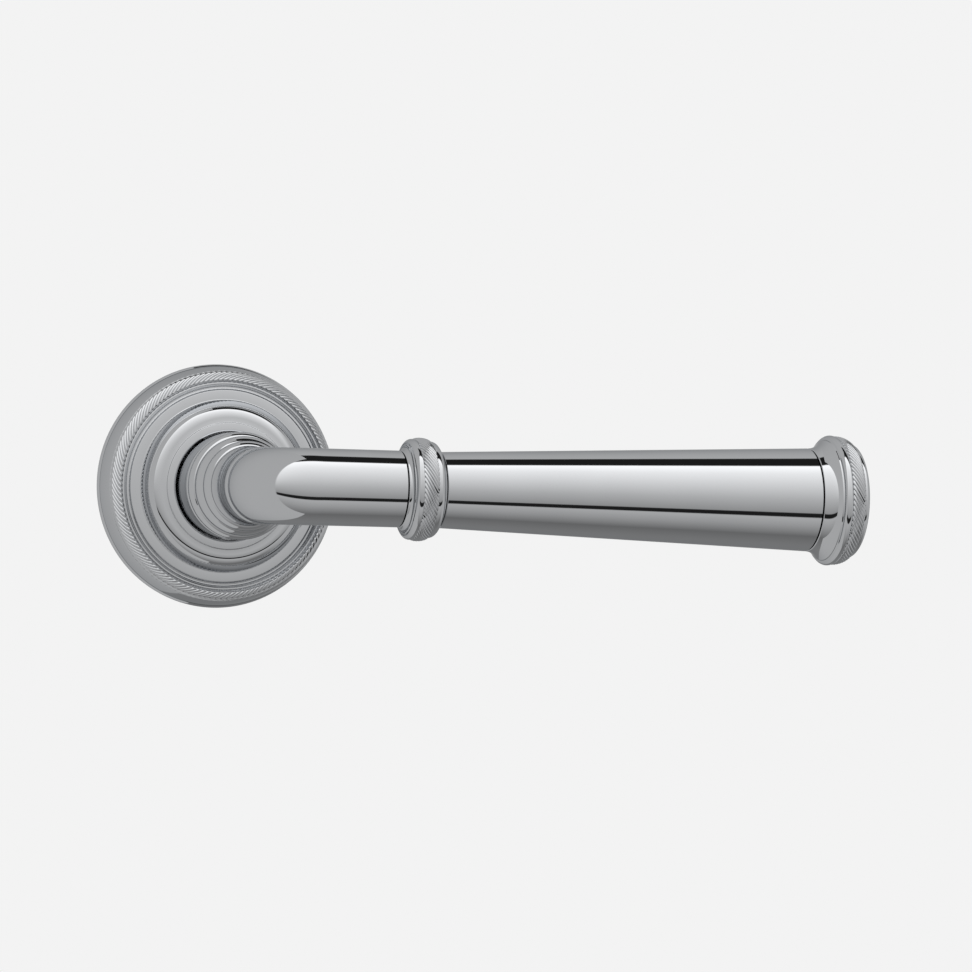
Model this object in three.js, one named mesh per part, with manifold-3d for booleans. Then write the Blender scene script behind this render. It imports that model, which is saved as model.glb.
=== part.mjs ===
// Door lever handle on a round rose: one side of a lever set, with its return spring, spindle and fixings.
// Millimetres, +Z up. The origin is on the spindle's axis at the door's face. The door lies on the +Y side,
// the lever points along +X, and "out" below means the distance from the door's face towards the room (-Y).
import * as THREE from "three";
import { mergeVertices } from "three/addons/utils/BufferGeometryUtils.js";
import Module from "manifold-3d";

const wasm = await Module();
wasm.setup();

// ---- driving dimensions ----
const GAP = 0.3; // between pieces that touch
const RUNNING = 0.35; // round a piece that turns or slides
const SEGMENTS = 32; // facets round a large turned piece
const SMALL_SEGMENTS = 16; // facets round a small turned piece
const COVER_SEGMENTS = 40; // facets round the rose cover

const ROSE_R = 27; // outer radius of the rose cover
const ROSE_WALL = 1.1; // thickness of the cover's shell
const RIM_WALL = 1.9; // thickness of its rim
const RIM_ROLL = 1; // how far the rim draws in towards the door
const ROSE_RIM_OUT = 3.6; // where the rim is widest
const RIM_FACE = 1.9; // steep face between the rim and the rope band, measured across the rose
const BAND_WIDTH = 1.9; // rope band on the cover
const BAND_FOOT_OUT = 9.6; // rope band: its foot and its crest
const BAND_CREST_OUT = 11.8;
const BAND_GROOVE = 2.1; // groove between the rope band and the flat ring
const BAND_GROOVE_D = 0.9;
const FLAT_WIDTH = 2.2; // flat ring on the cover
const FLAT_OUT = 11;
const DOME_WALL = 1.3; // steep wall from the flat ring up to the dome
const DOME_OUT = 13.6; // foot of the cover's dome
const MOUTH_WIDTH = 2.85; // nearly flat top between the dome and the mouth
const STEP_OUT = 15.2; // outer part of that top, below its fine step
const STEP_WIDTH = 1;
const MOUTH_OUT = 15.7; // the cover's mouth round the stem
const MOUTH_PLAY = 0.35; // between the mouth and the stem

const PLATE_PLAY = 0.9; // between the mounting plate and the cover
const PLATE_T = 4;
const RING_GROOVE_D = 0.9; // groove for the rubber ring
const RECESS_R = 12.8; // recess in the plate's back for the circlip
const RECESS_D = 2.7;
const BOSS_R = 11.8; // bearing boss
const BOSS_OUT = 7.2;
const BUSH_WALL = 1.1;
const CUP_INSET = 1.6; // middle of the spring cup's wall, in from the plate's edge
const CUP_WALL = 1.6;
const CUP_OUT = 6.4;

const FIX_R = 19; // fixing holes lie at 38 mm centres
const BOLT_R = 2; // M4 bolts, which meet threaded sleeves from the door's other side
const BOLT_LENGTH = 22;
const BOLT_HEAD_R = 3.9;
const SCREW_R = 1.9; // wood screws
const SCREW_LENGTH = 22;
const SCREW_HEAD_R = 3.7;
const HEAD_DEPTH = 2.2; // depth of a countersunk head

const JOURNAL_R = 8.1; // rear end of the stem, which turns in the bush
const JOURNAL_START = 0.15; // its rear end, out from the door's face
const CLIP_LAND = 0.3; // metal behind the circlip's groove
const CLIP_GROOVE_D = 0.8;
const KEY_D = 1; // depth of the journal's two flats
const STEM_R = 11.7; // the stem where it leaves the cover
const STEM_SHOULDER_OUT = 10.5;
const STEM_BEAD_OUT = 25.8; // first bead of the stepped stem
const NECK_R = 8.12; // plain round neck and arm
const ARM_OUT = 57.5; // axis of arm and grip
const BEND_R = 8.8; // middle line of the elbow
const ARM_END = 26.7; // the arm's end face, measured along the arm from the spindle's axis
const SPIGOT_R = 5.2; // spigot that centres the collar
const SPIGOT_LENGTH = 5;

const COLLAR_LENGTH = 8.2;
const COLLAR_R = 11.1;
const GRIP_LENGTH = 83;
const GRIP_START_R = 8.07;
const GRIP_END_R = 11.17;
const GRIP_BORE_R = 4.6;
const END_R = 14.37;
const END_LENGTH = 10.1;
const END_FACE_R = 12.5;
const PLUG_R = 9.6;
const PLUG_T = 2.2;
const PLUG_CROWN = 0.7;

const ROD_R = 3; // M6 tie rod through the grip
const ROD_IN_ARM = 12; // how far the rod screws into the arm
const NUT_ACROSS = 10;
const NUT_T = 4.5;
const WASHER_R = 6.4;
const WASHER_T = 1;

const SPINDLE = 8; // square spindle
const SPINDLE_IN = 23; // how far it reaches into the stem
const SPINDLE_BACK = 48; // how far it reaches past the door's face
const GRUB_R = 2.5; // M5 grub screw
const GRUB_OUT = 19.5;
const GRUB_SOCKET_R = 1.45;
const GRUB_RECESS = 0.9; // from the stem's surface to the screw

const CAM_T = 1.5; // drive cam, keyed on the journal
const CAM_R = 13.4;
const LUG_R = 16.4;
const LUG_WIDTH = 3.6;
const LUG_ANGLE = 122; // where the cam's lug stands at rest, from +X towards +Z, in degrees
const LEVER_TRAVEL = 50; // degrees
const PIN_R = 1.2; // stop and anchor pins
const PIN_ORBIT = 15.6;
const STOP_CLEARANCE = 2; // degrees between lug and stop pin at each end of the travel

const WIRE_R = 0.6; // return spring
const COIL_R = 13.2;
const COIL_SWEEP = 570; // degrees from the spring's fixed leg to its moving leg
const LEG_LEAD = 4.5; // degrees between the lug's edge and the spring's moving leg
const CLIP_T = 1; // circlip
const CLIP_WIDTH = 2.2; // its width beyond the journal
const CLIP_MOUTH = 4; // opening between its ends
const WAVE_T = 0.4; // wave washer
const RING_CORD_R = 0.55; // rubber ring between plate and cover

// ---- places worked out from the dimensions ----
const mouthR = STEM_R + MOUTH_PLAY;
const topR = mouthR + MOUTH_WIDTH; // edge of the dome's top
const rimInnerR = ROSE_R - RIM_WALL;
const bandOuterR = ROSE_R - RIM_FACE;
const bandInnerR = bandOuterR - BAND_WIDTH;
const flatOuterR = bandInnerR - BAND_GROOVE;
const flatInnerR = flatOuterR - FLAT_WIDTH;
const domeR = flatInnerR - DOME_WALL;
const plateR = rimInnerR - PLATE_PLAY;
const cupR = plateR - CUP_INSET;
const neckStart = ARM_OUT - BEND_R; // end of the stepped stem
const collarStart = ARM_END + GAP;
const collarEnd = collarStart + COLLAR_LENGTH;
const gripStart = collarEnd + GAP;
const gripEnd = gripStart + GRIP_LENGTH;
const endStart = gripEnd + GAP;
const endFace = endStart + END_LENGTH;
const plugSeat = endFace - PLUG_T - GAP;
const nutSeat = plugSeat - GAP - NUT_T - 1;
const washerSeat = nutSeat - GAP - WASHER_T;
const camOut = STEM_SHOULDER_OUT - GAP - CAM_T;
const bushFlangeOut = camOut - GAP;
const bushFlangeStart = BOSS_OUT + GAP;
const keyR = JOURNAL_R - KEY_D; // the journal's flats
const clipOut = JOURNAL_START + CLIP_LAND + GAP;

// ---- materials ----
function finish(colour, roughness, metalness) {
  return new THREE.MeshStandardMaterial({ color: new THREE.Color(...colour), roughness, metalness });
}
const chrome = finish([0.62, 0.63, 0.65], 0.08, 1);
const dieCast = finish([0.55, 0.56, 0.58], 0.45, 1);
const zincSteel = finish([0.6, 0.61, 0.63], 0.35, 1);
const springSteel = finish([0.35, 0.36, 0.38], 0.3, 1);
const nylon = finish([0.9, 0.9, 0.87], 0.5, 0);
const blackSteel = finish([0.06, 0.06, 0.065], 0.45, 1);
const rubber = finish([0.03, 0.03, 0.03], 0.8, 0);

// ---- shape helpers ----
const rad = THREE.MathUtils.degToRad;

// Turns a closed surface so that its faces point out.
function facingOut(geometry) {
  const g = geometry.index ? geometry.toNonIndexed() : geometry.clone();
  const p = g.getAttribute("position");
  const a = new THREE.Vector3();
  const b = new THREE.Vector3();
  const c = new THREE.Vector3();
  let volume = 0;
  for (let i = 0; i < p.count; i += 3) {
    a.fromBufferAttribute(p, i);
    b.fromBufferAttribute(p, i + 1);
    c.fromBufferAttribute(p, i + 2);
    volume += a.dot(b.cross(c));
  }
  if (volume < 0) {
    for (let i = 0; i < p.count; i += 3) {
      b.fromBufferAttribute(p, i + 1);
      c.fromBufferAttribute(p, i + 2);
      p.setXYZ(i + 1, c.x, c.y, c.z);
      p.setXYZ(i + 2, b.x, b.y, b.z);
    }
  }
  return g;
}

function toSolid(geometry) {
  const g = facingOut(geometry);
  g.deleteAttribute("normal");
  g.deleteAttribute("uv");
  const merged = mergeVertices(g, 1e-4);
  return new wasm.Manifold(
    new wasm.Mesh({
      numProp: 3,
      vertProperties: merged.getAttribute("position").array,
      triVerts: new Uint32Array(merged.index.array),
    }),
  );
}

function toGeometry(solid) {
  const surface = solid.getMesh();
  const g = new THREE.BufferGeometry();
  g.setAttribute("position", new THREE.BufferAttribute(surface.vertProperties, 3));
  g.setIndex(new THREE.BufferAttribute(surface.triVerts, 1));
  const flat = g.toNonIndexed();
  flat.computeVertexNormals();
  return flat;
}

function cut(base, ...tools) {
  return toGeometry(tools.reduce((s, t) => s.subtract(toSolid(t)), toSolid(base)));
}

function join(base, ...others) {
  return toGeometry(others.reduce((s, t) => s.add(toSolid(t)), toSolid(base)));
}

// Points of a shallow curve from a to b that stands "rise" proud of the straight line (left of a to b).
function curve(a, b, rise, steps = 5) {
  const length = Math.hypot(b[0] - a[0], b[1] - a[1]);
  const normal = [-(b[1] - a[1]) / length, (b[0] - a[0]) / length];
  const points = [];
  for (let i = 0; i <= steps; i += 1) {
    const t = i / steps;
    const lift = 4 * rise * t * (1 - t);
    points.push([a[0] + (b[0] - a[0]) * t + normal[0] * lift, a[1] + (b[1] - a[1]) * t + normal[1] * lift]);
  }
  return points;
}

// A piece turned about the spindle's axis from [radius, distance out] points.
function turned(profile, segments = SEGMENTS) {
  const points = profile.map(([r, out]) => new THREE.Vector2(r, -out));
  return facingOut(new THREE.LatheGeometry(points, segments));
}

// A piece turned about the arm's axis from [radius, place along the arm] points.
function turnedOnArm(profile, segments = SEGMENTS) {
  const points = profile.map(([r, x]) => new THREE.Vector2(r, x));
  const g = new THREE.LatheGeometry(points, segments);
  g.rotateZ(-Math.PI / 2);
  g.translate(0, -ARM_OUT, 0);
  return facingOut(g);
}

function disc(r, from, to, segments = SEGMENTS) {
  return turned([[0, from], [r, from], [r, to], [0, to]], segments);
}

function ring(inner, outer, from, to, segments = SEGMENTS) {
  return turned([[inner, from], [outer, from], [outer, to], [inner, to], [inner, from]], segments);
}

// Moves a piece from the spindle's axis to a radius and an angle (from +X towards +Z) on the plate.
function onPlate(geometry, radius, degrees) {
  return geometry.translate(radius * Math.cos(rad(degrees)), 0, radius * Math.sin(rad(degrees)));
}

function box(sizeX, from, to, sizeZ) {
  return new THREE.BoxGeometry(sizeX, to - from, sizeZ).translate(0, -(from + to) / 2, 0);
}

function mesh(name, geometry, material) {
  const m = new THREE.Mesh(geometry, material);
  m.name = name;
  return m;
}

// ---- rose cover ----
function roseCover() {
  const outer = [
    [ROSE_R - RIM_ROLL, GAP],
    [ROSE_R, ROSE_RIM_OUT - 0.4],
    [ROSE_R - 0.15, ROSE_RIM_OUT],
    ...curve([ROSE_R - 0.5, ROSE_RIM_OUT + 0.4], [bandOuterR + 0.3, BAND_FOOT_OUT - 0.2], -0.2, 4),
    [bandOuterR, BAND_FOOT_OUT],
    ...curve([bandOuterR, BAND_FOOT_OUT + 0.1], [bandInnerR + 0.2, BAND_CREST_OUT], -0.55, 5).slice(1),
    ...curve([bandInnerR - 0.1, BAND_CREST_OUT - 0.3], [flatOuterR, FLAT_OUT], BAND_GROOVE_D, 4),
    [flatInnerR, FLAT_OUT + 0.2],
    ...curve([flatInnerR - 0.15, FLAT_OUT + 0.3], [domeR, DOME_OUT - 0.1], 0.2, 4),
    ...curve([domeR - 0.05, DOME_OUT], [topR, STEP_OUT], -0.42, 5),
    [topR - STEP_WIDTH, STEP_OUT + 0.05],
    [topR - STEP_WIDTH - 0.1, STEP_OUT + 0.3],
    [mouthR + 0.35, MOUTH_OUT],
    [mouthR, MOUTH_OUT - 0.1],
  ];
  const inner = [
    [mouthR, MOUTH_OUT - 1.6],
    [topR - 0.6, STEP_OUT - ROSE_WALL],
    [domeR - 0.9, DOME_OUT - 0.6],
    [flatInnerR - 0.5, FLAT_OUT - ROSE_WALL],
    [bandInnerR - 0.2, FLAT_OUT - BAND_GROOVE_D - ROSE_WALL],
    [bandOuterR - 1.2, BAND_FOOT_OUT - 0.6],
    [rimInnerR, ROSE_RIM_OUT + 0.3],
    [rimInnerR, GAP],
    [ROSE_R - RIM_ROLL, GAP],
  ];
  return turned([...outer, ...inner], COVER_SEGMENTS);
}

// ---- mounting plate and what is fixed to it ----
function countersunk(shankR, headR, length, top) {
  return turned(
    [
      [0, top],
      [headR, top],
      [headR, top - 0.4],
      [shankR, top - HEAD_DEPTH],
      [shankR, top - length + shankR],
      [0, top - length],
    ],
    SMALL_SEGMENTS,
  );
}

function fixing(shankR, headR, length, degrees) {
  const top = PLATE_T - GAP;
  const body = countersunk(shankR, headR, length, top);
  const slot = 1.1;
  const cross = [box(slot, top - 1.3, top + 1, headR * 1.15), box(headR * 1.15, top - 1.3, top + 1, slot)];
  return onPlate(cut(body, ...cross), FIX_R, degrees);
}

function fixingHole(shankR, headR, degrees) {
  const top = PLATE_T + 1;
  const hole = turned(
    [
      [0, top],
      [headR + GAP, top],
      [headR + GAP, PLATE_T - GAP - 0.4 - GAP],
      [shankR + GAP, PLATE_T - HEAD_DEPTH - GAP - 0.1],
      [shankR + GAP, -1],
      [0, -1],
    ],
    SMALL_SEGMENTS,
  );
  return onPlate(hole, FIX_R, degrees);
}

// Angles of the pins: the lug rests beside the first and stops at the second.
// The third holds the spring's fixed leg.
const lugHalfAngle = THREE.MathUtils.radToDeg(Math.atan(LUG_WIDTH / 2 / PIN_ORBIT));
const pinHalfAngle = THREE.MathUtils.radToDeg(Math.atan(PIN_R / PIN_ORBIT));
const stopOffset = lugHalfAngle + pinHalfAngle + STOP_CLEARANCE;
const restPinAngle = LUG_ANGLE + stopOffset;
const endPinAngle = LUG_ANGLE - LEVER_TRAVEL - stopOffset;
const legAngle = LUG_ANGLE - lugHalfAngle - LEG_LEAD;
const anchorAngle = legAngle - COIL_SWEEP;
const legGapAngle = THREE.MathUtils.radToDeg((PIN_R + WIRE_R + GAP) / PIN_ORBIT);
const anchorPinAngle = anchorAngle - legGapAngle;
const pinTop = camOut - GAP;
const pinFoot = 2;

function stopPin(degrees) {
  return onPlate(disc(PIN_R, pinFoot, pinTop, SMALL_SEGMENTS), PIN_ORBIT, degrees);
}

function pinHole(degrees) {
  return onPlate(disc(PIN_R + GAP, pinFoot - GAP, PLATE_T + 1, SMALL_SEGMENTS), PIN_ORBIT, degrees);
}

function mountingPlate() {
  const bore = JOURNAL_R + RUNNING + BUSH_WALL + GAP;
  const grooveR = plateR - RING_GROOVE_D;
  const grooveMid = PLATE_T / 2;
  const half = RING_CORD_R + 0.15;
  const body = turned([
    [bore, RECESS_D],
    [RECESS_R, RECESS_D],
    [RECESS_R, 0],
    [plateR, 0],
    [plateR, grooveMid - half],
    [grooveR, grooveMid - half],
    [grooveR, grooveMid + half],
    [plateR, grooveMid + half],
    [plateR, PLATE_T],
    [cupR + CUP_WALL / 2, PLATE_T],
    [cupR + CUP_WALL / 2, CUP_OUT],
    [cupR - CUP_WALL / 2, CUP_OUT],
    [cupR - CUP_WALL / 2, PLATE_T],
    [BOSS_R, PLATE_T],
    [BOSS_R, BOSS_OUT],
    [bore, BOSS_OUT],
    [bore, RECESS_D],
  ]);
  return cut(
    body,
    fixingHole(BOLT_R, BOLT_HEAD_R, 0),
    fixingHole(BOLT_R, BOLT_HEAD_R, 180),
    fixingHole(SCREW_R, SCREW_HEAD_R, 90),
    fixingHole(SCREW_R, SCREW_HEAD_R, 270),
    pinHole(restPinAngle),
    pinHole(endPinAngle),
    pinHole(anchorPinAngle),
  );
}

function bearingBush() {
  const inner = JOURNAL_R + RUNNING;
  const outer = inner + BUSH_WALL;
  return turned([
    [inner, RECESS_D],
    [outer, RECESS_D],
    [outer, bushFlangeStart],
    [BOSS_R, bushFlangeStart],
    [BOSS_R, bushFlangeOut],
    [inner, bushFlangeOut],
    [inner, RECESS_D],
  ]);
}

// Rubber ring in the plate's groove, which grips the cover.
function coverRing() {
  const mid = plateR - RING_GROOVE_D + GAP + RING_CORD_R;
  const points = [];
  for (let i = 0; i <= 8; i += 1) {
    const t = (i / 8) * 2 * Math.PI;
    points.push([mid + RING_CORD_R * Math.cos(t), PLATE_T / 2 + RING_CORD_R * Math.sin(t)]);
  }
  points[points.length - 1] = points[0];
  return turned(points);
}

// Centre line of the torsion spring: a leg out to the anchor pin, the coil, a leg out to the cam's lug.
class SpringPath extends THREE.Curve {
  getPoint(t) {
    const low = PLATE_T + GAP + WIRE_R;
    const high = pinTop - WIRE_R - GAP;
    const legShare = 0.06;
    const legOut = LUG_R - 0.4;
    const along = THREE.MathUtils.clamp((t - legShare) / (1 - 2 * legShare), 0, 1);
    const angle = rad(anchorAngle + COIL_SWEEP * along);
    const legLow = Math.max(0, 1 - t / legShare);
    const legHigh = Math.max(0, 1 - (1 - t) / legShare);
    const r = COIL_R + (legOut - COIL_R) * Math.max(legLow, legHigh);
    return new THREE.Vector3(r * Math.cos(angle), -(low + (high - low) * along), r * Math.sin(angle));
  }
}

// A round bar of radius r along a path.
function swept(path, r, segments, steps) {
  const section = new THREE.Shape();
  section.absarc(0, 0, r, 0, 2 * Math.PI, false);
  const options = { steps, curveSegments: segments, bevelEnabled: false, extrudePath: path };
  return facingOut(new THREE.ExtrudeGeometry(section, options));
}

// Drive cam: a ring with two flats on the journal and a lug that turns down into the spring cup.
function driveCam() {
  const plate = disc(CAM_R, camOut, camOut + CAM_T);
  const arm = box(LUG_R - 4, camOut, camOut + CAM_T, LUG_WIDTH).translate(4 + (LUG_R - 4) / 2, 0, 0);
  const lugLow = PLATE_T + 1;
  const lugInner = COIL_R + WIRE_R + 2 * GAP;
  const lug = box(LUG_R - lugInner, lugLow, camOut + CAM_T, LUG_WIDTH);
  lug.translate((LUG_R + lugInner) / 2, 0, 0);
  const keyed = join(plate, arm, lug);
  keyed.rotateY(-rad(LUG_ANGLE));
  const bore = disc(JOURNAL_R + GAP, camOut - 1, camOut + CAM_T + 1);
  const flats = box((keyR + GAP) * 2, camOut - 2, camOut + CAM_T + 2, 40);
  const hole = toGeometry(toSolid(bore).intersect(toSolid(flats)));
  return cut(keyed, hole);
}

function waveWasher() {
  const from = clipOut + CLIP_T + GAP;
  return ring(JOURNAL_R + RUNNING, RECESS_R - 1, from, from + WAVE_T);
}

function circlip() {
  const inner = JOURNAL_R - CLIP_GROOVE_D + GAP;
  const body = ring(inner, JOURNAL_R + CLIP_WIDTH, clipOut, clipOut + CLIP_T);
  const mouth = box(CLIP_MOUTH, clipOut - 1, clipOut + CLIP_T + 1, JOURNAL_R * 2);
  return cut(body, mouth.translate(0, 0, -JOURNAL_R - 1));
}

// ---- lever ----
class ElbowPath extends THREE.Curve {
  getPoint(t) {
    const bend = (Math.PI / 2) * BEND_R;
    const straight = ARM_END - BEND_R;
    const s = t * (bend + straight);
    if (s < bend) {
      const a = s / BEND_R;
      return new THREE.Vector3(BEND_R * (1 - Math.cos(a)), -(neckStart + BEND_R * Math.sin(a)), 0);
    }
    return new THREE.Vector3(BEND_R + s - bend, -ARM_OUT, 0);
  }
}

function stemProfile() {
  return [
    [0, JOURNAL_START],
    [JOURNAL_R, JOURNAL_START],
    [JOURNAL_R, clipOut - GAP],
    [JOURNAL_R - CLIP_GROOVE_D, clipOut - GAP],
    [JOURNAL_R - CLIP_GROOVE_D, clipOut + CLIP_T + GAP],
    [JOURNAL_R, clipOut + CLIP_T + GAP],
    [JOURNAL_R, STEM_SHOULDER_OUT],
    [STEM_R, STEM_SHOULDER_OUT],
    [STEM_R, STEM_BEAD_OUT - 0.5],
    [STEM_R - 0.4, STEM_BEAD_OUT],
    ...curve([STEM_R - 0.1, STEM_BEAD_OUT + 0.2], [STEM_R - 1.1, STEM_BEAD_OUT + 2.4], -0.35, 4),
    ...curve([STEM_R - 1, STEM_BEAD_OUT + 2.8], [STEM_R - 2.1, STEM_BEAD_OUT + 5.7], -0.4, 4),
    ...curve([STEM_R - 2, STEM_BEAD_OUT + 6.1], [STEM_R - 3.2, STEM_BEAD_OUT + 8.6], -0.35, 4),
    ...curve([STEM_R - 3.2, STEM_BEAD_OUT + 9.6], [NECK_R - 0.2, neckStart - 4], 0.4, 6),
    ...curve([NECK_R, neckStart - 3.8], [NECK_R - 0.1, neckStart - 0.7], -0.2, 4),
    [NECK_R - 0.5, neckStart - 0.4],
    [NECK_R - 0.5, neckStart + 1],
    [0, neckStart + 1],
  ];
}

function leverNeck() {
  const stem = turned(stemProfile());
  const elbow = swept(new ElbowPath(), NECK_R, SEGMENTS, 18);
  const spigot = turnedOnArm(
    [
      [0, ARM_END - 3],
      [SPIGOT_R, ARM_END - 3],
      [SPIGOT_R, ARM_END + SPIGOT_LENGTH],
      [0, ARM_END + SPIGOT_LENGTH],
    ],
    SMALL_SEGMENTS,
  );
  const hole = SPINDLE + 2 * GAP;
  const spindleHole = box(hole, -1, SPINDLE_IN + GAP, hole);
  const grubHole = new THREE.CylinderGeometry(GRUB_R + GAP, GRUB_R + GAP, STEM_R * 2, SMALL_SEGMENTS);
  grubHole.rotateX(Math.PI / 2).translate(0, -GRUB_OUT, -STEM_R);
  const rodHole = turnedOnArm(
    [
      [0, ARM_END - ROD_IN_ARM - GAP],
      [ROD_R + GAP, ARM_END - ROD_IN_ARM - GAP],
      [ROD_R + GAP, ARM_END + SPIGOT_LENGTH + 1],
      [0, ARM_END + SPIGOT_LENGTH + 1],
    ],
    SMALL_SEGMENTS,
  );
  const flat = STEM_SHOULDER_OUT - camOut + GAP;
  const flatMid = STEM_SHOULDER_OUT - flat / 2;
  const flats = [1, -1].map((side) =>
    new THREE.BoxGeometry(4, flat, 40).translate(side * (keyR + 2), -flatMid, 0),
  );
  return cut(join(stem, elbow, spigot), spindleHole, grubHole, rodHole, ...flats);
}

function spindleBar() {
  const chamfer = 0.8;
  const bar = box(SPINDLE, -SPINDLE_BACK, SPINDLE_IN, SPINDLE);
  const tip = turned(
    [
      [0, -SPINDLE_BACK - 1],
      [SPINDLE * 0.62, -SPINDLE_BACK - 1],
      [SPINDLE * 0.72, -SPINDLE_BACK + 3 * chamfer],
      [SPINDLE * 0.72, SPINDLE_IN - 3 * chamfer],
      [SPINDLE * 0.62, SPINDLE_IN + 1],
      [0, SPINDLE_IN + 1],
    ],
    SMALL_SEGMENTS,
  );
  return toGeometry(toSolid(bar).intersect(toSolid(tip)));
}

function grubScrew() {
  const top = -(SPINDLE / 2 + GAP);
  const foot = -(STEM_R - GRUB_RECESS);
  const length = top - foot;
  const body = new THREE.CylinderGeometry(GRUB_R, GRUB_R, length, SMALL_SEGMENTS);
  body.rotateX(Math.PI / 2).translate(0, -GRUB_OUT, (top + foot) / 2);
  const socket = new THREE.CylinderGeometry(GRUB_SOCKET_R, GRUB_SOCKET_R, 4, 6);
  socket.rotateX(Math.PI / 2).translate(0, -GRUB_OUT, foot);
  return cut(body, socket);
}

function collarRing() {
  const a = collarStart;
  const band = [collarStart + 2.6, collarStart + 6];
  return turnedOnArm([
    [SPIGOT_R + GAP, a],
    [NECK_R, a],
    ...curve([NECK_R + 0.25, a], [NECK_R + 1.4, a + 1.3], 0.3, 3),
    ...curve([NECK_R + 1.7, a + 1.5], [COLLAR_R - 0.3, band[0]], -0.3, 3),
    ...curve([COLLAR_R - 0.2, band[0] + 0.1], [COLLAR_R - 0.3, band[1]], -0.25, 4),
    ...curve([COLLAR_R - 1, band[1] + 0.2], [COLLAR_R - 2, collarEnd - 0.3], -0.3, 3),
    [GRIP_START_R + 0.2, collarEnd],
    [SPIGOT_R + GAP, collarEnd],
    [SPIGOT_R + GAP, a],
  ]);
}

function gripSleeve() {
  return turnedOnArm([
    [GRIP_BORE_R, gripStart],
    [GRIP_START_R, gripStart],
    [GRIP_END_R, gripEnd],
    [GRIP_BORE_R, gripEnd],
    [GRIP_BORE_R, gripStart],
  ]);
}

function endRing() {
  const band = [endFace - 4.4, endFace - 1.9];
  return turnedOnArm([
    [ROD_R + GAP, endStart],
    [GRIP_END_R, endStart],
    ...curve([GRIP_END_R + 0.05, endStart + 0.3], [END_R - 1, band[0] - 2.2], 0.3, 5),
    [END_R - 1.1, band[0] - 1.9],
    ...curve([END_R - 0.5, band[0] - 1.7], [END_R - 0.3, band[0] - 0.3], -0.25, 3),
    ...curve([END_R - 0.1, band[0]], [END_R - 0.9, band[1]], -0.3, 4),
    ...curve([END_R - 1.2, band[1] + 0.1], [END_FACE_R, endFace], -0.3, 4),
    [PLUG_R + GAP, endFace],
    [PLUG_R + GAP, plugSeat],
    [WASHER_R + GAP, plugSeat],
    [WASHER_R + GAP, washerSeat - GAP],
    [ROD_R + GAP, washerSeat - GAP],
    [ROD_R + GAP, endStart],
  ]);
}

function endPlug() {
  const from = plugSeat + GAP;
  const top = curve([PLUG_R, endFace], [0, endFace + PLUG_CROWN], -0.25, 5);
  top[top.length - 1][0] = 0;
  return turnedOnArm([[0, from], [PLUG_R, from], ...top]);
}

function gripRod() {
  const from = ARM_END - ROD_IN_ARM;
  const to = nutSeat + NUT_T + 0.4;
  return turnedOnArm(
    [[0, from], [ROD_R - 0.5, from], [ROD_R, from + 0.6], [ROD_R, to - 0.5], [ROD_R - 0.5, to], [0, to]],
    SMALL_SEGMENTS,
  );
}

function rodNut() {
  const across = NUT_ACROSS / 2 / Math.cos(Math.PI / 6);
  const top = nutSeat + NUT_T;
  const hex = turnedOnArm([[0, nutSeat], [across, nutSeat], [across, top], [0, top]], 6);
  const r = ROD_R + GAP;
  const hole = turnedOnArm([[0, nutSeat - 1], [r, nutSeat - 1], [r, top + 1], [0, top + 1]], SMALL_SEGMENTS);
  return cut(hex, hole);
}

function rodWasher() {
  const r = ROD_R + GAP;
  const to = washerSeat + WASHER_T;
  return turnedOnArm([[r, washerSeat], [WASHER_R, washerSeat], [WASHER_R, to], [r, to], [r, washerSeat]]);
}

// ---- the assembly ----
const rose = new THREE.Group();
rose.add(
  mesh("mounting_plate", mountingPlate(), dieCast),
  mesh("bearing_bush", bearingBush(), nylon),
  mesh("cover_ring", coverRing(), rubber),
  mesh("return_spring", swept(new SpringPath(), WIRE_R, 8, 60), springSteel),
  mesh("rest_stop_pin", stopPin(restPinAngle), zincSteel),
  mesh("end_stop_pin", stopPin(endPinAngle), zincSteel),
  mesh("spring_anchor_pin", stopPin(anchorPinAngle), zincSteel),
  mesh("through_bolt_1", fixing(BOLT_R, BOLT_HEAD_R, BOLT_LENGTH, 0), zincSteel),
  mesh("through_bolt_2", fixing(BOLT_R, BOLT_HEAD_R, BOLT_LENGTH, 180), zincSteel),
  mesh("wood_screw_1", fixing(SCREW_R, SCREW_HEAD_R, SCREW_LENGTH, 90), zincSteel),
  mesh("wood_screw_2", fixing(SCREW_R, SCREW_HEAD_R, SCREW_LENGTH, 270), zincSteel),
);

const cover = new THREE.Group();
cover.add(mesh("rose_cover", roseCover(), chrome));

const lever = new THREE.Group();
lever.add(
  mesh("lever_neck", leverNeck(), chrome),
  mesh("collar_ring", collarRing(), chrome),
  mesh("grip_sleeve", gripSleeve(), chrome),
  mesh("end_ring", endRing(), chrome),
  mesh("end_plug", endPlug(), chrome),
  mesh("grip_rod", gripRod(), zincSteel),
  mesh("rod_nut", rodNut(), zincSteel),
  mesh("rod_washer", rodWasher(), zincSteel),
  mesh("drive_cam", driveCam(), zincSteel),
  mesh("wave_washer", waveWasher(), springSteel),
  mesh("circlip", circlip(), springSteel),
  mesh("spindle", spindleBar(), zincSteel),
  mesh("grub_screw", grubScrew(), blackSteel),
);

const handle = new THREE.Group();
handle.add(rose, cover, lever);

export default handle;
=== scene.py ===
import math

import bmesh
import bpy
import numpy as np
from bpy.props import FloatProperty, FloatVectorProperty, IntProperty, PointerProperty
from mathutils import Matrix, Vector


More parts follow.
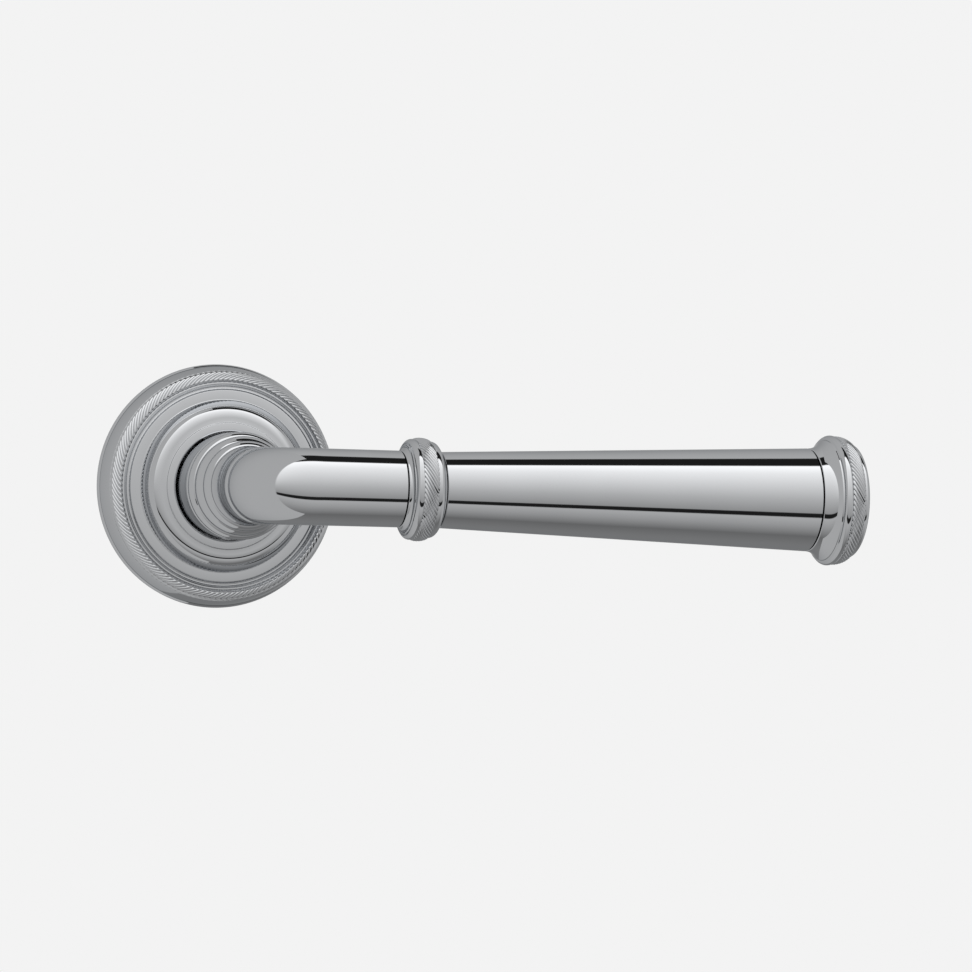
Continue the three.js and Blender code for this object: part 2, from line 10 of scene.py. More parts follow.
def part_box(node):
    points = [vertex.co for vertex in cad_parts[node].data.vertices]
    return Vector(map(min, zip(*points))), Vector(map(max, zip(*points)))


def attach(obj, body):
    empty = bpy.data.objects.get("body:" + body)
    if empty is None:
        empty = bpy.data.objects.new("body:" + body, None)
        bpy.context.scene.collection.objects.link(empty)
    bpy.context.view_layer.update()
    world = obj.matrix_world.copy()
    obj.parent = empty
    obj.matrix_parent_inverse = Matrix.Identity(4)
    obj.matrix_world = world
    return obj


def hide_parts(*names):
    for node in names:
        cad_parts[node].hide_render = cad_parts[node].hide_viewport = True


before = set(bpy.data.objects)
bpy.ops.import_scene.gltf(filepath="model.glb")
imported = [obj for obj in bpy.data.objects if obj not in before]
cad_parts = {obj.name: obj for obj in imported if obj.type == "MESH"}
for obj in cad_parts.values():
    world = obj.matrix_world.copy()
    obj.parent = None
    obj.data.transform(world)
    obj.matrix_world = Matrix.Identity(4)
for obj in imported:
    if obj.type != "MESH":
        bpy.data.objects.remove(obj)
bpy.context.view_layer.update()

bl_info = {
    "name": "Door lever handle on a round rose",
    "version": (1, 0, 0),
    "blender": (4, 5, 0),
    "location": "3D View > Sidebar > Door Lever",
    "description": "Builds a polished door lever handle, its rose, its spring cassette and a plain studio",
    "category": "Object",
}

MM = 0.001
TAU = 2 * math.pi

# ---- places and sizes read from the frame, in metres ----
# "out" is the distance from the door's face towards the room (-Y); "along" runs along the arm (+X).


def span(node, axis):
    """Lowest and highest place of a CAD node on one axis (0, 1 or 2)."""
    low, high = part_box(node)
    return low[axis], high[axis]


ROSE_R = span("rose_cover", 0)[1]
MOUTH_OUT = -span("rose_cover", 1)[0]
ARM_OUT = -sum(span("collar_ring", 1)) / 2
NECK_R = -span("lever_neck", 1)[0] - ARM_OUT
COLLAR_FROM, COLLAR_TO = span("collar_ring", 0)
COLLAR_R = span("collar_ring", 2)[1]
GRIP_FROM, GRIP_TO = span("grip_sleeve", 0)
GRIP_END_R = span("grip_sleeve", 2)[1]
END_FROM, END_FACE = span("end_ring", 0)
END_R = span("end_ring", 2)[1]
PLUG_FROM, PLUG_TO = span("end_plug", 0)
PLUG_R = span("end_plug", 2)[1]
STEM_R = span("lever_neck", 2)[1]
PLATE_R = span("mounting_plate", 0)[1]
SPINDLE_HALF = span("spindle", 0)[1]
SPINDLE_IN = -span("spindle", 1)[0]
SPINDLE_BACK = span("spindle", 1)[1]
BUSH_IN, BUSH_OUT = -span("bearing_bush", 1)[1], -span("bearing_bush", 1)[0]
PIN_R = (span("rest_stop_pin", 0)[1] - span("rest_stop_pin", 0)[0]) / 2
PIN_IN, PIN_OUT = -span("rest_stop_pin", 1)[1], -span("rest_stop_pin", 1)[0]
CAM_OUT = -span("drive_cam", 1)[0]
CLIP_IN, CLIP_OUT = -span("circlip", 1)[1], -span("circlip", 1)[0]
WAVE_IN, WAVE_OUT = -span("wave_washer", 1)[1], -span("wave_washer", 1)[0]
RING_MID = -sum(span("cover_ring", 1)) / 2
RING_CORD_R = (span("cover_ring", 1)[1] - span("cover_ring", 1)[0]) / 2
RING_R = span("cover_ring", 0)[1] - RING_CORD_R

# ---- driving dimensions that the frame's boxes don't show ----
GAP = 0.3 * MM
NECK_START = 48.7 * MM  # end of the stepped stem
BEND_R = ARM_OUT - NECK_START
ARM_END = COLLAR_FROM - GAP
GRIP_START_R = 8.07 * MM
STEM_SHOULDER = 10.5 * MM
STEM_BEAD = 25.8 * MM
JOURNAL_R = 8.1 * MM
JOURNAL_FROM = 0.15 * MM
GRUB_OUT = 19.5 * MM
GRUB_R = 2.5 * MM
PLATE_T = 4 * MM
BOSS_R = 11.8 * MM
BOSS_OUT = 7.2 * MM
RECESS_R = 12.8 * MM
RECESS_D = 2.7 * MM
CUP_R = 22.6 * MM
CUP_WALL = 1.6 * MM
CUP_OUT = 6.4 * MM
FIX_R = 19 * MM
HEAD_DEPTH = 2.2 * MM
CAM_R = 13.4 * MM
LUG_R = 16.4 * MM
LUG_WIDTH = 3.6 * MM
LUG_ANGLE = 122
LUG_LOW = 5 * MM
COIL_R = 13.2 * MM
COIL_SWEEP = 570  # degrees from the spring's fixed leg to its moving leg
LEG_LEAD = 4.5  # degrees between the lug's edge and the moving leg
WIRE_R = 0.6 * MM
PIN_ORBIT = 15.6 * MM
KEY_D = 1 * MM  # depth of the journal's two flats
CAM_T = 1.5 * MM
CLIP_GROOVE_D = 0.8 * MM
CLIP_WIDTH = 2.2 * MM  # the circlip's width beyond the journal
CLIP_HALF_MOUTH = 0.28  # half the opening between its ends, in radians
SPIGOT_R = 5.2 * MM  # spigot that centres the collar
SPIGOT_LENGTH = 5 * MM
RUNNING = 0.35 * MM  # play round a piece that turns
BUSH_WALL = 1.1 * MM
GRIP_BORE_R = 4.6 * MM
END_BORE_R = 3.3 * MM
RING_GROOVE_D = 0.9 * MM


# ---- settings that a user would change ----
class DoorLeverSizes(bpy.types.PropertyGroup):
    """Fine sizes of the turned and cut surfaces."""

    segments: IntProperty(name="Segments", description="Facets round a turned surface", default=224, min=48)
    corner: FloatProperty(
        name="Corner radius", description="Small round on turned corners", default=0.18 * MM, unit="LENGTH"
    )
    cover_strands: IntProperty(
        name="Cover strands", description="Slanting cuts round the rose's rope band", default=132, min=12
    )
    collar_strands: IntProperty(
        name="Collar strands", description="Slanting cuts round the collar's rope band", default=60, min=12
    )
    end_strands: IntProperty(
        name="End strands", description="Slanting cuts round the end ring's rope band", default=76, min=12
    )
    cut_depth: FloatProperty(
        name="Cut depth", description="Depth of the rope bands' cuts", default=0.2 * MM, unit="LENGTH"
    )
    bolt_pitch: FloatProperty(
        name="Bolt pitch", description="Thread pitch of the through bolts", default=0.7 * MM, unit="LENGTH"
    )
    screw_pitch: FloatProperty(
        name="Screw pitch", description="Thread pitch of the wood screws", default=1.8 * MM, unit="LENGTH"
    )


class DoorLeverFinishes(bpy.types.PropertyGroup):
    """Colours of the finishes."""

    chrome: FloatVectorProperty(
        name="Chrome", description="Polished plate", subtype="COLOR", default=(0.66, 0.67, 0.685)
    )
    die_cast: FloatVectorProperty(
        name="Die casting", description="Bare zinc alloy", subtype="COLOR", default=(0.5, 0.51, 0.53)
    )
    zinc: FloatVectorProperty(
        name="Zinc plate", description="Bright zinc-plated steel", subtype="COLOR", default=(0.62, 0.64, 0.67)
    )
    spring: FloatVectorProperty(
        name="Spring steel", description="Oiled spring steel", subtype="COLOR", default=(0.3, 0.31, 0.34)
    )
    nylon: FloatVectorProperty(
        name="Nylon", description="Natural nylon", subtype="COLOR", default=(0.78, 0.77, 0.71)
    )
    black: FloatVectorProperty(
        name="Black steel", description="Blackened screw", subtype="COLOR", default=(0.05, 0.05, 0.055)
    )
    rubber: FloatVectorProperty(
        name="Rubber", description="Soft rubber ring", subtype="COLOR", default=(0.025, 0.025, 0.027)
    )


class DoorLeverStudio(bpy.types.PropertyGroup):
    """The camera and the studio round the handle."""

    azimuth: FloatProperty(
        name="Azimuth", description="Camera's side", default=math.radians(-16.5), subtype="ANGLE"
    )
    elevation: FloatProperty(
        name="Elevation", description="Camera's height", default=math.radians(-0.5), subtype="ANGLE"
    )
    roll: FloatProperty(name="Roll", description="Camera's tilt", default=math.radians(1.4), subtype="ANGLE")
    distance: FloatProperty(name="Distance", description="From camera to aim", default=0.99, unit="LENGTH")
    aim: FloatVectorProperty(
        name="Aim",
        description="Point in the middle of the view",
        default=(0.058, -0.0172, 0.0015),
        subtype="XYZ",
    )
    lens: FloatProperty(name="Lens", description="Focal length in millimetres", default=165.2)
    floor_height: FloatProperty(
        name="Floor height", description="Floor's place below the handle", default=-0.5, unit="LENGTH"
    )
    paper: FloatVectorProperty(
        name="Paper", description="Pale background", subtype="COLOR", default=(0.896, 0.896, 0.896)
    )
    floor_size: FloatProperty(
        name="Floor size", description="Radius of the floor", default=1.5, unit="LENGTH"
    )
    surround: FloatProperty(
        name="Surround", description="Strength of the light all round", default=1.6
    )


# ---- shader helpers ----
def add_node(tree, kind, inputs=None, **settings):
    """Adds a node, sets its properties, and fills or links its inputs by name or index."""
    made = tree.nodes.new(kind)
    for name, value in settings.items():
        setattr(made, name, value)
    for key, value in (inputs or {}).items():
        socket = made.inputs[key]
        if isinstance(value, bpy.types.NodeSocket):
            tree.links.new(value, socket)
        else:
            socket.default_value = value
    return made


def maths(tree, operation, a, b=0.0, clamp=False):
    return add_node(tree, "ShaderNodeMath", {0: a, 1: b}, operation=operation, use_clamp=clamp).outputs[0]


def ranged(tree, value, low, high, to_low=0.0, to_high=1.0, kind="SMOOTHSTEP"):
    made = add_node(
        tree,
        "ShaderNodeMapRange",
        {"Value": value, "From Min": low, "From Max": high, "To Min": to_low, "To Max": to_high},
        interpolation_type=kind,
    )
    return made.outputs["Result"]


def group_tree(name, inputs, outputs):
    """An empty shader group with named sockets: (kind, name, default) each."""
    tree = bpy.data.node_groups.new(name, "ShaderNodeTree")
    for kind, label, default in inputs:
        socket = tree.interface.new_socket(label, in_out="INPUT", socket_type=kind)
        if default is not None:
            socket.default_value = default
    for kind, label in outputs:
        tree.interface.new_socket(label, in_out="OUTPUT", socket_type=kind)
    entry = tree.nodes.new("NodeGroupInput")
    leave = tree.nodes.new("NodeGroupOutput")
    return tree, entry, leave


def polish_group():
    """Hairlines and faint wiping marks of polished or plated metal."""
    tree, entry, leave = group_tree(
        "polish_marks",
        [
            ("NodeSocketColor", "Colour", (0.6, 0.6, 0.6, 1)),
            ("NodeSocketFloat", "Gloss roughness", 0.05),
            ("NodeSocketFloat", "Smear", 0.03),
            ("NodeSocketFloat", "Hairline height", 0.02),
            ("NodeSocketFloat", "Tarnish", 0.04),
        ],
        [("NodeSocketColor", "Colour"), ("NodeSocketFloat", "Roughness"), ("NodeSocketVector", "Normal")],
    )
    place = add_node(tree, "ShaderNodeTexCoord").outputs["Object"]
    smear = add_node(
        tree,
        "ShaderNodeTexNoise",
        {"Vector": place, "Scale": 140.0, "Detail": 5.0, "Roughness": 0.6, "Distortion": 0.6},
    ).outputs["Fac"]
    cloud = add_node(
        tree, "ShaderNodeTexNoise", {"Vector": place, "Scale": 38.0, "Detail": 3.0}
    ).outputs["Fac"]
    stretched = add_node(
        tree, "ShaderNodeMapping", {"Vector": place, "Scale": (350.0, 3200.0, 3200.0)}
    ).outputs["Vector"]
    hair = add_node(
        tree, "ShaderNodeTexNoise", {"Vector": stretched, "Scale": 1.0, "Detail": 2.0}
    ).outputs["Fac"]
    extra = maths(tree, "MULTIPLY", ranged(tree, smear, 0.42, 0.72), entry.outputs["Smear"])
    rough = maths(tree, "ADD", entry.outputs["Gloss roughness"], extra)
    dulled = maths(tree, "MULTIPLY", ranged(tree, cloud, 0.35, 0.8), entry.outputs["Tarnish"])
    shade = maths(tree, "SUBTRACT", 1.0, dulled)
    colour = add_node(
        tree, "ShaderNodeVectorMath", {0: entry.outputs["Colour"]}, operation="SCALE"
    )
    tree.links.new(shade, colour.inputs["Scale"])
    bump = add_node(
        tree,
        "ShaderNodeBump",
        {"Height": hair, "Strength": entry.outputs["Hairline height"], "Distance": 0.00002},
    )
    tree.links.new(colour.outputs[0], leave.inputs["Colour"])
    tree.links.new(rough, leave.inputs["Roughness"])
    tree.links.new(bump.outputs["Normal"], leave.inputs["Normal"])
    return tree


def grain_group():
    """Fine pits and blotches of a cast, moulded or rubber skin, with a little dust in random blotches."""
    tree, entry, leave = group_tree(
        "moulded_grain",
        [
            ("NodeSocketColor", "Colour", (0.6, 0.6, 0.6, 1)),
            ("NodeSocketColor", "Dust colour", (0.5, 0.48, 0.45, 1)),
            ("NodeSocketFloat", "Dust", 0.1),
            ("NodeSocketFloat", "Grain scale", 900.0),
            ("NodeSocketFloat", "Grain height", 0.2),
            ("NodeSocketFloat", "Base roughness", 0.5),
        ],
        [("NodeSocketColor", "Colour"), ("NodeSocketFloat", "Roughness"), ("NodeSocketVector", "Normal")],
    )
    place = add_node(tree, "ShaderNodeTexCoord").outputs["Object"]
    grain = add_node(
        tree,
        "ShaderNodeTexNoise",
        {"Vector": place, "Scale": entry.outputs["Grain scale"], "Detail": 4.0, "Roughness": 0.65},
    ).outputs["Fac"]
    blotch = add_node(
        tree, "ShaderNodeTexNoise", {"Vector": place, "Scale": 60.0, "Detail": 4.0}
    ).outputs["Fac"]
    dust = maths(tree, "MULTIPLY", ranged(tree, blotch, 0.45, 0.75), entry.outputs["Dust"])
    mixed = add_node(
        tree,
        "ShaderNodeMix",
        {"Factor": dust, 6: entry.outputs["Colour"], 7: entry.outputs["Dust colour"]},
        data_type="RGBA",
    )
    rough = maths(
        tree, "ADD", entry.outputs["Base roughness"], ranged(tree, grain, 0.3, 0.8, -0.06, 0.12), clamp=True
    )
    bump = add_node(
        tree,
        "ShaderNodeBump",
        {"Height": grain, "Strength": entry.outputs["Grain height"], "Distance": 0.0001},
    )
    tree.links.new(mixed.outputs[2], leave.inputs["Colour"])
    tree.links.new(rough, leave.inputs["Roughness"])
    tree.links.new(bump.outputs["Normal"], leave.inputs["Normal"])
    return tree


def material(name, group, values, metallic, edge_tint=None):
    """A Principled material whose colour, roughness and normal come from a surface group."""
    made = bpy.data.materials.new(name)
    made.use_nodes = True
    tree = made.node_tree
    body = tree.nodes["Principled BSDF"]
    body.inputs["Metallic"].default_value = metallic
    if edge_tint is not None:
        body.inputs["Specular Tint"].default_value = (*edge_tint, 1)
    surface = tree.nodes.new("ShaderNodeGroup")
    surface.node_tree = group
    for label, value in values.items():
        surface.inputs[label].default_value = (*value, 1) if label.endswith("olour") else value
    tree.links.new(surface.outputs["Colour"], body.inputs["Base Color"])
    tree.links.new(surface.outputs["Roughness"], body.inputs["Roughness"])
    tree.links.new(surface.outputs["Normal"], body.inputs["Normal"])
    return made


def finish_material(name):
    """The material of that name, which the finishes operator made."""
    return bpy.data.materials[name]


# ---- outline helpers: lists of (radius, place on the axis) ----
def bowed(a, b, rise, steps=14):
    """A shallow arc from a to b; a positive rise bows it to the right of the way from a to b."""
    length = math.hypot(b[0] - a[0], b[1] - a[1])
    side = ((b[1] - a[1]) / length, -(b[0] - a[0]) / length)
    points = []
    for i in range(steps + 1):
        t = i / steps
        lift = 4 * rise * t * (1 - t)
        points.append((a[0] + (b[0] - a[0]) * t + side[0] * lift, a[1] + (b[1] - a[1]) * t + side[1] * lift))
    return points


def softened(points, radius, steps=5):
    """Rounds the corners of an open outline, with a smaller radius where its sides are short."""
    soft = [points[0]]
    for before, corner, after in zip(points, points[1:], points[2:]):
        a = Vector((before[0] - corner[0], before[1] - corner[1]))
        b = Vector((after[0] - corner[0], after[1] - corner[1]))
        turn = math.pi - a.angle(b, math.pi)
        if turn < 0.25:
            soft.append(corner)
            continue
        reach = min(radius * math.tan(turn / 2), a.length * 0.45, b.length * 0.45)
        start = Vector(corner) + a.normalized() * reach
        end = Vector(corner) + b.normalized() * reach
        for i in range(steps + 1):
            t = i / steps
            point = start * (1 - t) ** 2 + Vector(corner) * 2 * t * (1 - t) + end * t**2
            soft.append((point.x, point.y))
    soft.append(points[-1])
    return soft


# ---- mesh helpers ----
def circle(count, radius, phase=0.0):
    angles = phase + np.arange(count) * TAU / count
    return np.column_stack([np.cos(angles), np.sin(angles)]) * radius


def rounded_square(count, half, corner):
    """A square outline with round corners, its points at even angles."""
    angles = np.arange(count) * TAU / count
    direction = np.column_stack([np.cos(angles), np.sin(angles)])
    outline = []
    for d in direction:
        reach = half / max(abs(d))
        point = d * reach
        inner = half - corner
        if min(abs(point)) > inner:
            centre = np.sign(point) * inner
            along = float(centre @ d)
            reach = along + math.sqrt(max(along**2 - float(centre @ centre) + corner**2, 0))
            point = d * reach
        outline.append(point)
    return np.array(outline)


def cross_outline(count, arm, half_width):
    """A cross-shaped outline, for the recess in a screw's head."""
    angles = np.arange(count) * TAU / count
    points = []
    for angle in angles:
        big = max(abs(math.cos(angle)), abs(math.sin(angle)))
        small = min(abs(math.cos(angle)), abs(math.sin(angle)))
        reach = min(arm / big, half_width / max(small, 1e-6))
        points.append((math.cos(angle) * reach, math.sin(angle) * reach))
    return np.array(points)


def hexagon(count, across):
    angles = np.arange(count) * TAU / count
    bend = (angles + math.pi / 6) % (math.pi / 3) - math.pi / 6
    reach = across / 2 / np.cos(bend)
    return np.column_stack([np.cos(angles), np.sin(angles)]) * reach[:, None]


def on_spindle(points, out):
    """Plane points (x, z) at a distance out from the door."""
    return np.column_stack([points[:, 0], np.full(len(points), -out), points[:, 1]])


def on_arm(points, along):
    """Plane points at a place along the arm, round the arm's axis."""
    return np.column_stack([np.full(len(points), along), -ARM_OUT + points[:, 0], points[:, 1]])


def below_stem(points, z):
    """Plane points at a height below the stem, round the grub screw's axis."""
    return np.column_stack([points[:, 0], points[:, 1] - GRUB_OUT, np.full(len(points), z)])


def skin(name, rings, closed=False):
    """A closed mesh over rings of points. The ends are filled, or joined to each other if closed."""
    count = len(rings[0])
    coordinates = [tuple(p) for ring_points in rings for p in ring_points]
    faces = []
    pairs = len(rings) if closed else len(rings) - 1
    for k in range(pairs):
        a = k * count
        b = ((k + 1) % len(rings)) * count
        for i in range(count):
            j = (i + 1) % count
            faces.append((a + i, a + j, b + j, b + i))
    if not closed:
        for start in (0, (len(rings) - 1) * count):
            middle = len(coordinates)
            coordinates.append(tuple(np.mean(rings[start // count], axis=0)))
            for i in range(count):
                faces.append((start + i, start + (i + 1) % count, middle))
    return mesh_object(name, coordinates, faces)


def mesh_object(name, coordinates, faces):
    data = bpy.data.meshes.new(name)
    data.from_pydata(coordinates, [], faces)
    return show(name, data)


def tidy(data, sharp_degrees=32):
    """Merges doubles, turns every face outwards and keeps crisp corners crisp."""
    work = bmesh.new()
    work.from_mesh(data)
    bmesh.ops.remove_doubles(work, verts=work.verts, dist=1e-7)
    bmesh.ops.dissolve_degenerate(work, edges=work.edges, dist=1e-8)
    bmesh.ops.recalc_face_normals(work, faces=work.faces)
    work.to_mesh(data)
    work.free()
    data.shade_smooth()
    data.set_sharp_from_angle(angle=math.radians(sharp_degrees))


def show(name, data):
    tidy(data)
    made = bpy.data.objects.new(name, data)
    bpy.context.scene.collection.objects.link(made)
    return made


def turned(name, outline, place, segments, closed=True):
    """A turned piece: the outline goes round the spindle's or the arm's axis."""
    rings = [place(circle(segments, r), s) for r, s in outline]
    return skin(name, rings, closed)


def bored(made, cutter):
    """Cuts one mesh out of another and removes the cutter."""
    modifier = made.modifiers.new("bore", "BOOLEAN")
    modifier.operation = "DIFFERENCE"
    modifier.solver = "EXACT"
    modifier.object = cutter
    bpy.context.view_layer.update()
    evaluated = made.evaluated_get(bpy.context.evaluated_depsgraph_get())
    data = bpy.data.meshes.new_from_object(evaluated)
    made.modifiers.clear()
    made.data = data
    data.set_sharp_from_angle(angle=math.radians(32))
    bpy.data.objects.remove(cutter)
    return made


def installed(made, body, slot, finish, *nodes):
    """Gives a piece its finish and its body, and hides the CAD nodes that it stands for. The slot is not
    used.
    """
    made.data.materials.clear()
    made.data.materials.append(finish_material(finish))
    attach(made, body)
    if nodes:
        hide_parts(*nodes)
    return made


# ---- Geometry Nodes helpers ----
def calc(tree, operation, a, b=0.0):
    return add_node(tree, "ShaderNodeMath", {0: a, 1: b}, operation=operation).outputs[0]


def shape_tree(name, inputs):
    """An empty geometry tree with named inputs: (kind, name, default) each."""
    tree = bpy.data.node_groups.new(name, "GeometryNodeTree")
    tree.interface.new_socket("Geometry", in_out="OUTPUT", socket_type="NodeSocketGeometry")
    for kind, label, default in inputs:
        socket = tree.interface.new_socket(label, in_out="INPUT", socket_type=kind)
        if default is not None:
            socket.default_value = default
    entry = tree.nodes.new("NodeGroupInput")
    return tree, entry


def grid_fields(tree, columns, rows):
    """A unit grid, and its two coordinates from 0 to 1."""
    sizes = {"Size X": 1.0, "Size Y": 1.0, "Vertices X": columns, "Vertices Y": rows}
    grid = add_node(tree, "GeometryNodeMeshGrid", sizes)
    place = add_node(tree, "GeometryNodeInputPosition")
    parts = add_node(tree, "ShaderNodeSeparateXYZ", {0: place.outputs[0]})
    u = calc(tree, "ADD", parts.outputs["X"], 0.5)
    v = calc(tree, "ADD", parts.outputs["Y"], 0.5)
    return grid.outputs["Mesh"], u, v


def wrap(tree, entry, grid, radius, turn, height):
    """Places the grid by radius, turn and height round the Z axis, closes it and gives it its material."""
    x = calc(tree, "MULTIPLY", radius, calc(tree, "COSINE", turn))
    y = calc(tree, "MULTIPLY", radius, calc(tree, "SINE", turn))
    point = add_node(tree, "ShaderNodeCombineXYZ", {"X": x, "Y": y, "Z": height}).outputs[0]
    placed = add_node(tree, "GeometryNodeSetPosition", {"Geometry": grid, "Position": point}).outputs[0]
    merged = add_node(tree, "GeometryNodeMergeByDistance", {"Geometry": placed, "Distance": 1e-6}).outputs[0]
    real = add_node(tree, "GeometryNodeRealizeInstances", {"Geometry": merged}).outputs[0]
    coloured = add_node(
        tree, "GeometryNodeSetMaterial", {"Geometry": real, "Material": entry.outputs["Material"]}
    ).outputs[0]
    leave = tree.nodes.new("NodeGroupOutput")
    tree.links.new(coloured, leave.inputs[0])


def rope_band_tree():
    """A ring of oval section whose surface is cut into slanting strands."""
    tree, entry = shape_tree(
        "rope_band",
        [
            ("NodeSocketInt", "Strands", 84),
            ("NodeSocketInt", "Columns per strand", 8),
            ("NodeSocketInt", "Rows", 22),
            ("NodeSocketFloat", "Ring radius", 0.01),
            ("NodeSocketFloat", "Place", 0.0),
            ("NodeSocketFloat", "Half width", 0.0018),
            ("NodeSocketFloat", "Half height", 0.0008),
            ("NodeSocketFloat", "Section tilt", 0.0),
            ("NodeSocketFloat", "Lay", 0.2),
            ("NodeSocketFloat", "Cut depth", 0.0002),
            ("NodeSocketMaterial", "Material", None),
        ],
    )
    get = entry.outputs
    columns = calc(tree, "ADD", calc(tree, "MULTIPLY", get["Strands"], get["Columns per strand"]), 1.0)
    rows = calc(tree, "ADD", get["Rows"], 1.0)
    grid, u, v = grid_fields(tree, columns, rows)
    section = calc(tree, "MULTIPLY", v, TAU)
    across = calc(tree, "COSINE", section)
    lifted = calc(tree, "SINE", section)
    # the grid's columns slant with the strands, so each strand keeps the same few faces along it
    start = calc(tree, "MULTIPLY", u, TAU)
    turn = calc(tree, "SUBTRACT", start, calc(tree, "MULTIPLY", across, get["Lay"]))
    phase = calc(tree, "MULTIPLY", start, get["Strands"])
    ridge = calc(tree, "ABSOLUTE", calc(tree, "SINE", calc(tree, "MULTIPLY", phase, 0.5)))
    sunk = calc(tree, "MULTIPLY", calc(tree, "SUBTRACT", 1.0, ridge), get["Cut depth"])
    flat = calc(tree, "MULTIPLY", across, calc(tree, "SUBTRACT", get["Half width"], sunk))
    proud = calc(tree, "MULTIPLY", lifted, calc(tree, "SUBTRACT", get["Half height"], sunk))
    cosine = calc(tree, "COSINE", get["Section tilt"])
    sine = calc(tree, "SINE", get["Section tilt"])
    radius = calc(
        tree,
        "ADD",
        get["Ring radius"],
        calc(tree, "SUBTRACT", calc(tree, "MULTIPLY", flat, cosine), calc(tree, "MULTIPLY", proud, sine)),
    )
    height = calc(
        tree,
        "ADD",
        get["Place"],
        calc(tree, "ADD", calc(tree, "MULTIPLY", flat, sine), calc(tree, "MULTIPLY", proud, cosine)),
    )
    wrap(tree, entry, grid, radius, turn, height)
    return tree


def thread_tree():
    """A screw's shank with a helical thread and a pointed or chamfered tip."""
    tree, entry = shape_tree(
        "screw_thread",
        [
            ("NodeSocketInt", "Columns", 28),
            ("NodeSocketInt", "Rows", 200),
            ("NodeSocketFloat", "Radius", 0.002),
            ("NodeSocketFloat", "Length", 0.04),
            ("NodeSocketFloat", "Pitch", 0.0007),
            ("NodeSocketFloat", "Thread depth", 0.0004),
            ("NodeSocketFloat", "Tip length", 0.001),
            ("NodeSocketFloat", "Tip share", 0.6),
            ("NodeSocketMaterial", "Material", None),
        ],
    )
    get = entry.outputs
    columns = calc(tree, "ADD", get["Columns"], 1.0)
    grid, u, v = grid_fields(tree, columns, get["Rows"])
    turn = calc(tree, "MULTIPLY", u, TAU)
    height = calc(tree, "MULTIPLY", v, get["Length"])
    turns = calc(tree, "ADD", calc(tree, "DIVIDE", height, get["Pitch"]), u)
    saw = calc(tree, "ABSOLUTE", calc(tree, "SUBTRACT", calc(tree, "FRACT", turns), 0.5))
    valley = calc(tree, "SUBTRACT", 1.0, calc(tree, "MULTIPLY", saw, 2.0))
    cut = calc(tree, "MULTIPLY", valley, get["Thread depth"])
    near_tip = calc(tree, "DIVIDE", calc(tree, "SUBTRACT", get["Length"], height), get["Tip length"])
    limited = calc(tree, "MINIMUM", near_tip, 1.0)
    taper = calc(
        tree,
        "SUBTRACT",
        1.0,
        calc(tree, "MULTIPLY", calc(tree, "SUBTRACT", 1.0, limited), get["Tip share"]),
    )
    last_row = calc(tree, "SUBTRACT", get["Rows"], 1.0)
    from_start = calc(tree, "MULTIPLY", v, last_row)
    from_end = calc(tree, "MULTIPLY", calc(tree, "SUBTRACT", 1.0, v), last_row)
    ends = calc(tree, "MINIMUM", calc(tree, "MINIMUM", from_start, from_end), 1.0)
    closed = calc(tree, "ROUND", ends)
    full = calc(tree, "MULTIPLY", calc(tree, "SUBTRACT", get["Radius"], cut), taper)
    wrap(tree, entry, grid, calc(tree, "MULTIPLY", full, closed), turn, height)
    return tree


def grown(name, tree, values, placement):
    """Runs a geometry tree with these values and returns its result as a plain placed mesh."""
    seed = bpy.data.objects.new(name + "_seed", bpy.data.meshes.new(name + "_seed"))
    bpy.context.scene.collection.objects.link(seed)
    modifier = seed.modifiers.new("shape", "NODES")
    modifier.node_group = tree
    for item in tree.interface.items_tree:
        if item.item_type == "SOCKET" and item.in_out == "INPUT" and item.name in values:
            modifier[item.identifier] = values[item.name]
    bpy.context.view_layer.update()
    evaluated = seed.evaluated_get(bpy.context.evaluated_depsgraph_get())
    data = bpy.data.meshes.new_from_object(evaluated)
    seed.modifiers.clear()
    bpy.data.objects.remove(seed)
    data.name = name
    data.transform(placement)
    return show(name, data)


SPINDLE_PLACE = Matrix(((1, 0, 0, 0), (0, 0, -1, 0), (0, 1, 0, 0), (0, 0, 0, 1)))
ARM_PLACE = Matrix(((0, 0, 1, 0), (1, 0, 0, -ARM_OUT), (0, 1, 0, 0), (0, 0, 0, 1)))


def rope_band(name, strands, start, end, rise, lay, placement, depth):
    """A rope band whose middle line bows from start to end, both (radius, place)."""
    width = math.hypot(end[0] - start[0], end[1] - start[1])
    values = {
        "Strands": strands,
        "Ring radius": (start[0] + end[0]) / 2,
        "Place": (start[1] + end[1]) / 2,
        "Half width": width / 2,
        "Half height": rise,
        "Section tilt": math.atan2(end[1] - start[1], end[0] - start[0]),
        "Lay": lay,
        "Cut depth": depth,
    }
    return grown(name, bpy.data.node_groups["rope_band"], values, placement)


# ---- the pieces ----
BAND_FOOT = (ROSE_R - 1.75 * MM, 9.4 * MM)  # rope band on the cover, foot and crest
BAND_CREST = (ROSE_R - 3.75 * MM, 11.75 * MM)
BEAD_OUT = 10.95 * MM  # foot of the small bead inside the rope band
FLAT_OUTER_R = ROSE_R - 5.9 * MM
FLAT_INNER_R = ROSE_R - 8.1 * MM
FLAT_OUT = 11 * MM
DOME_R = ROSE_R - 9.45 * MM
DOME_OUT = 13.6 * MM
MOUTH_R = STEM_R + 0.35 * MM
TOP_R = MOUTH_R + 2.85 * MM  # edge of the dome's nearly flat top
TOP_OUT = 15.2 * MM
RIM_OUT = 3.4 * MM
RIM_ROLL = 1 * MM  # how far the rim draws in towards the door


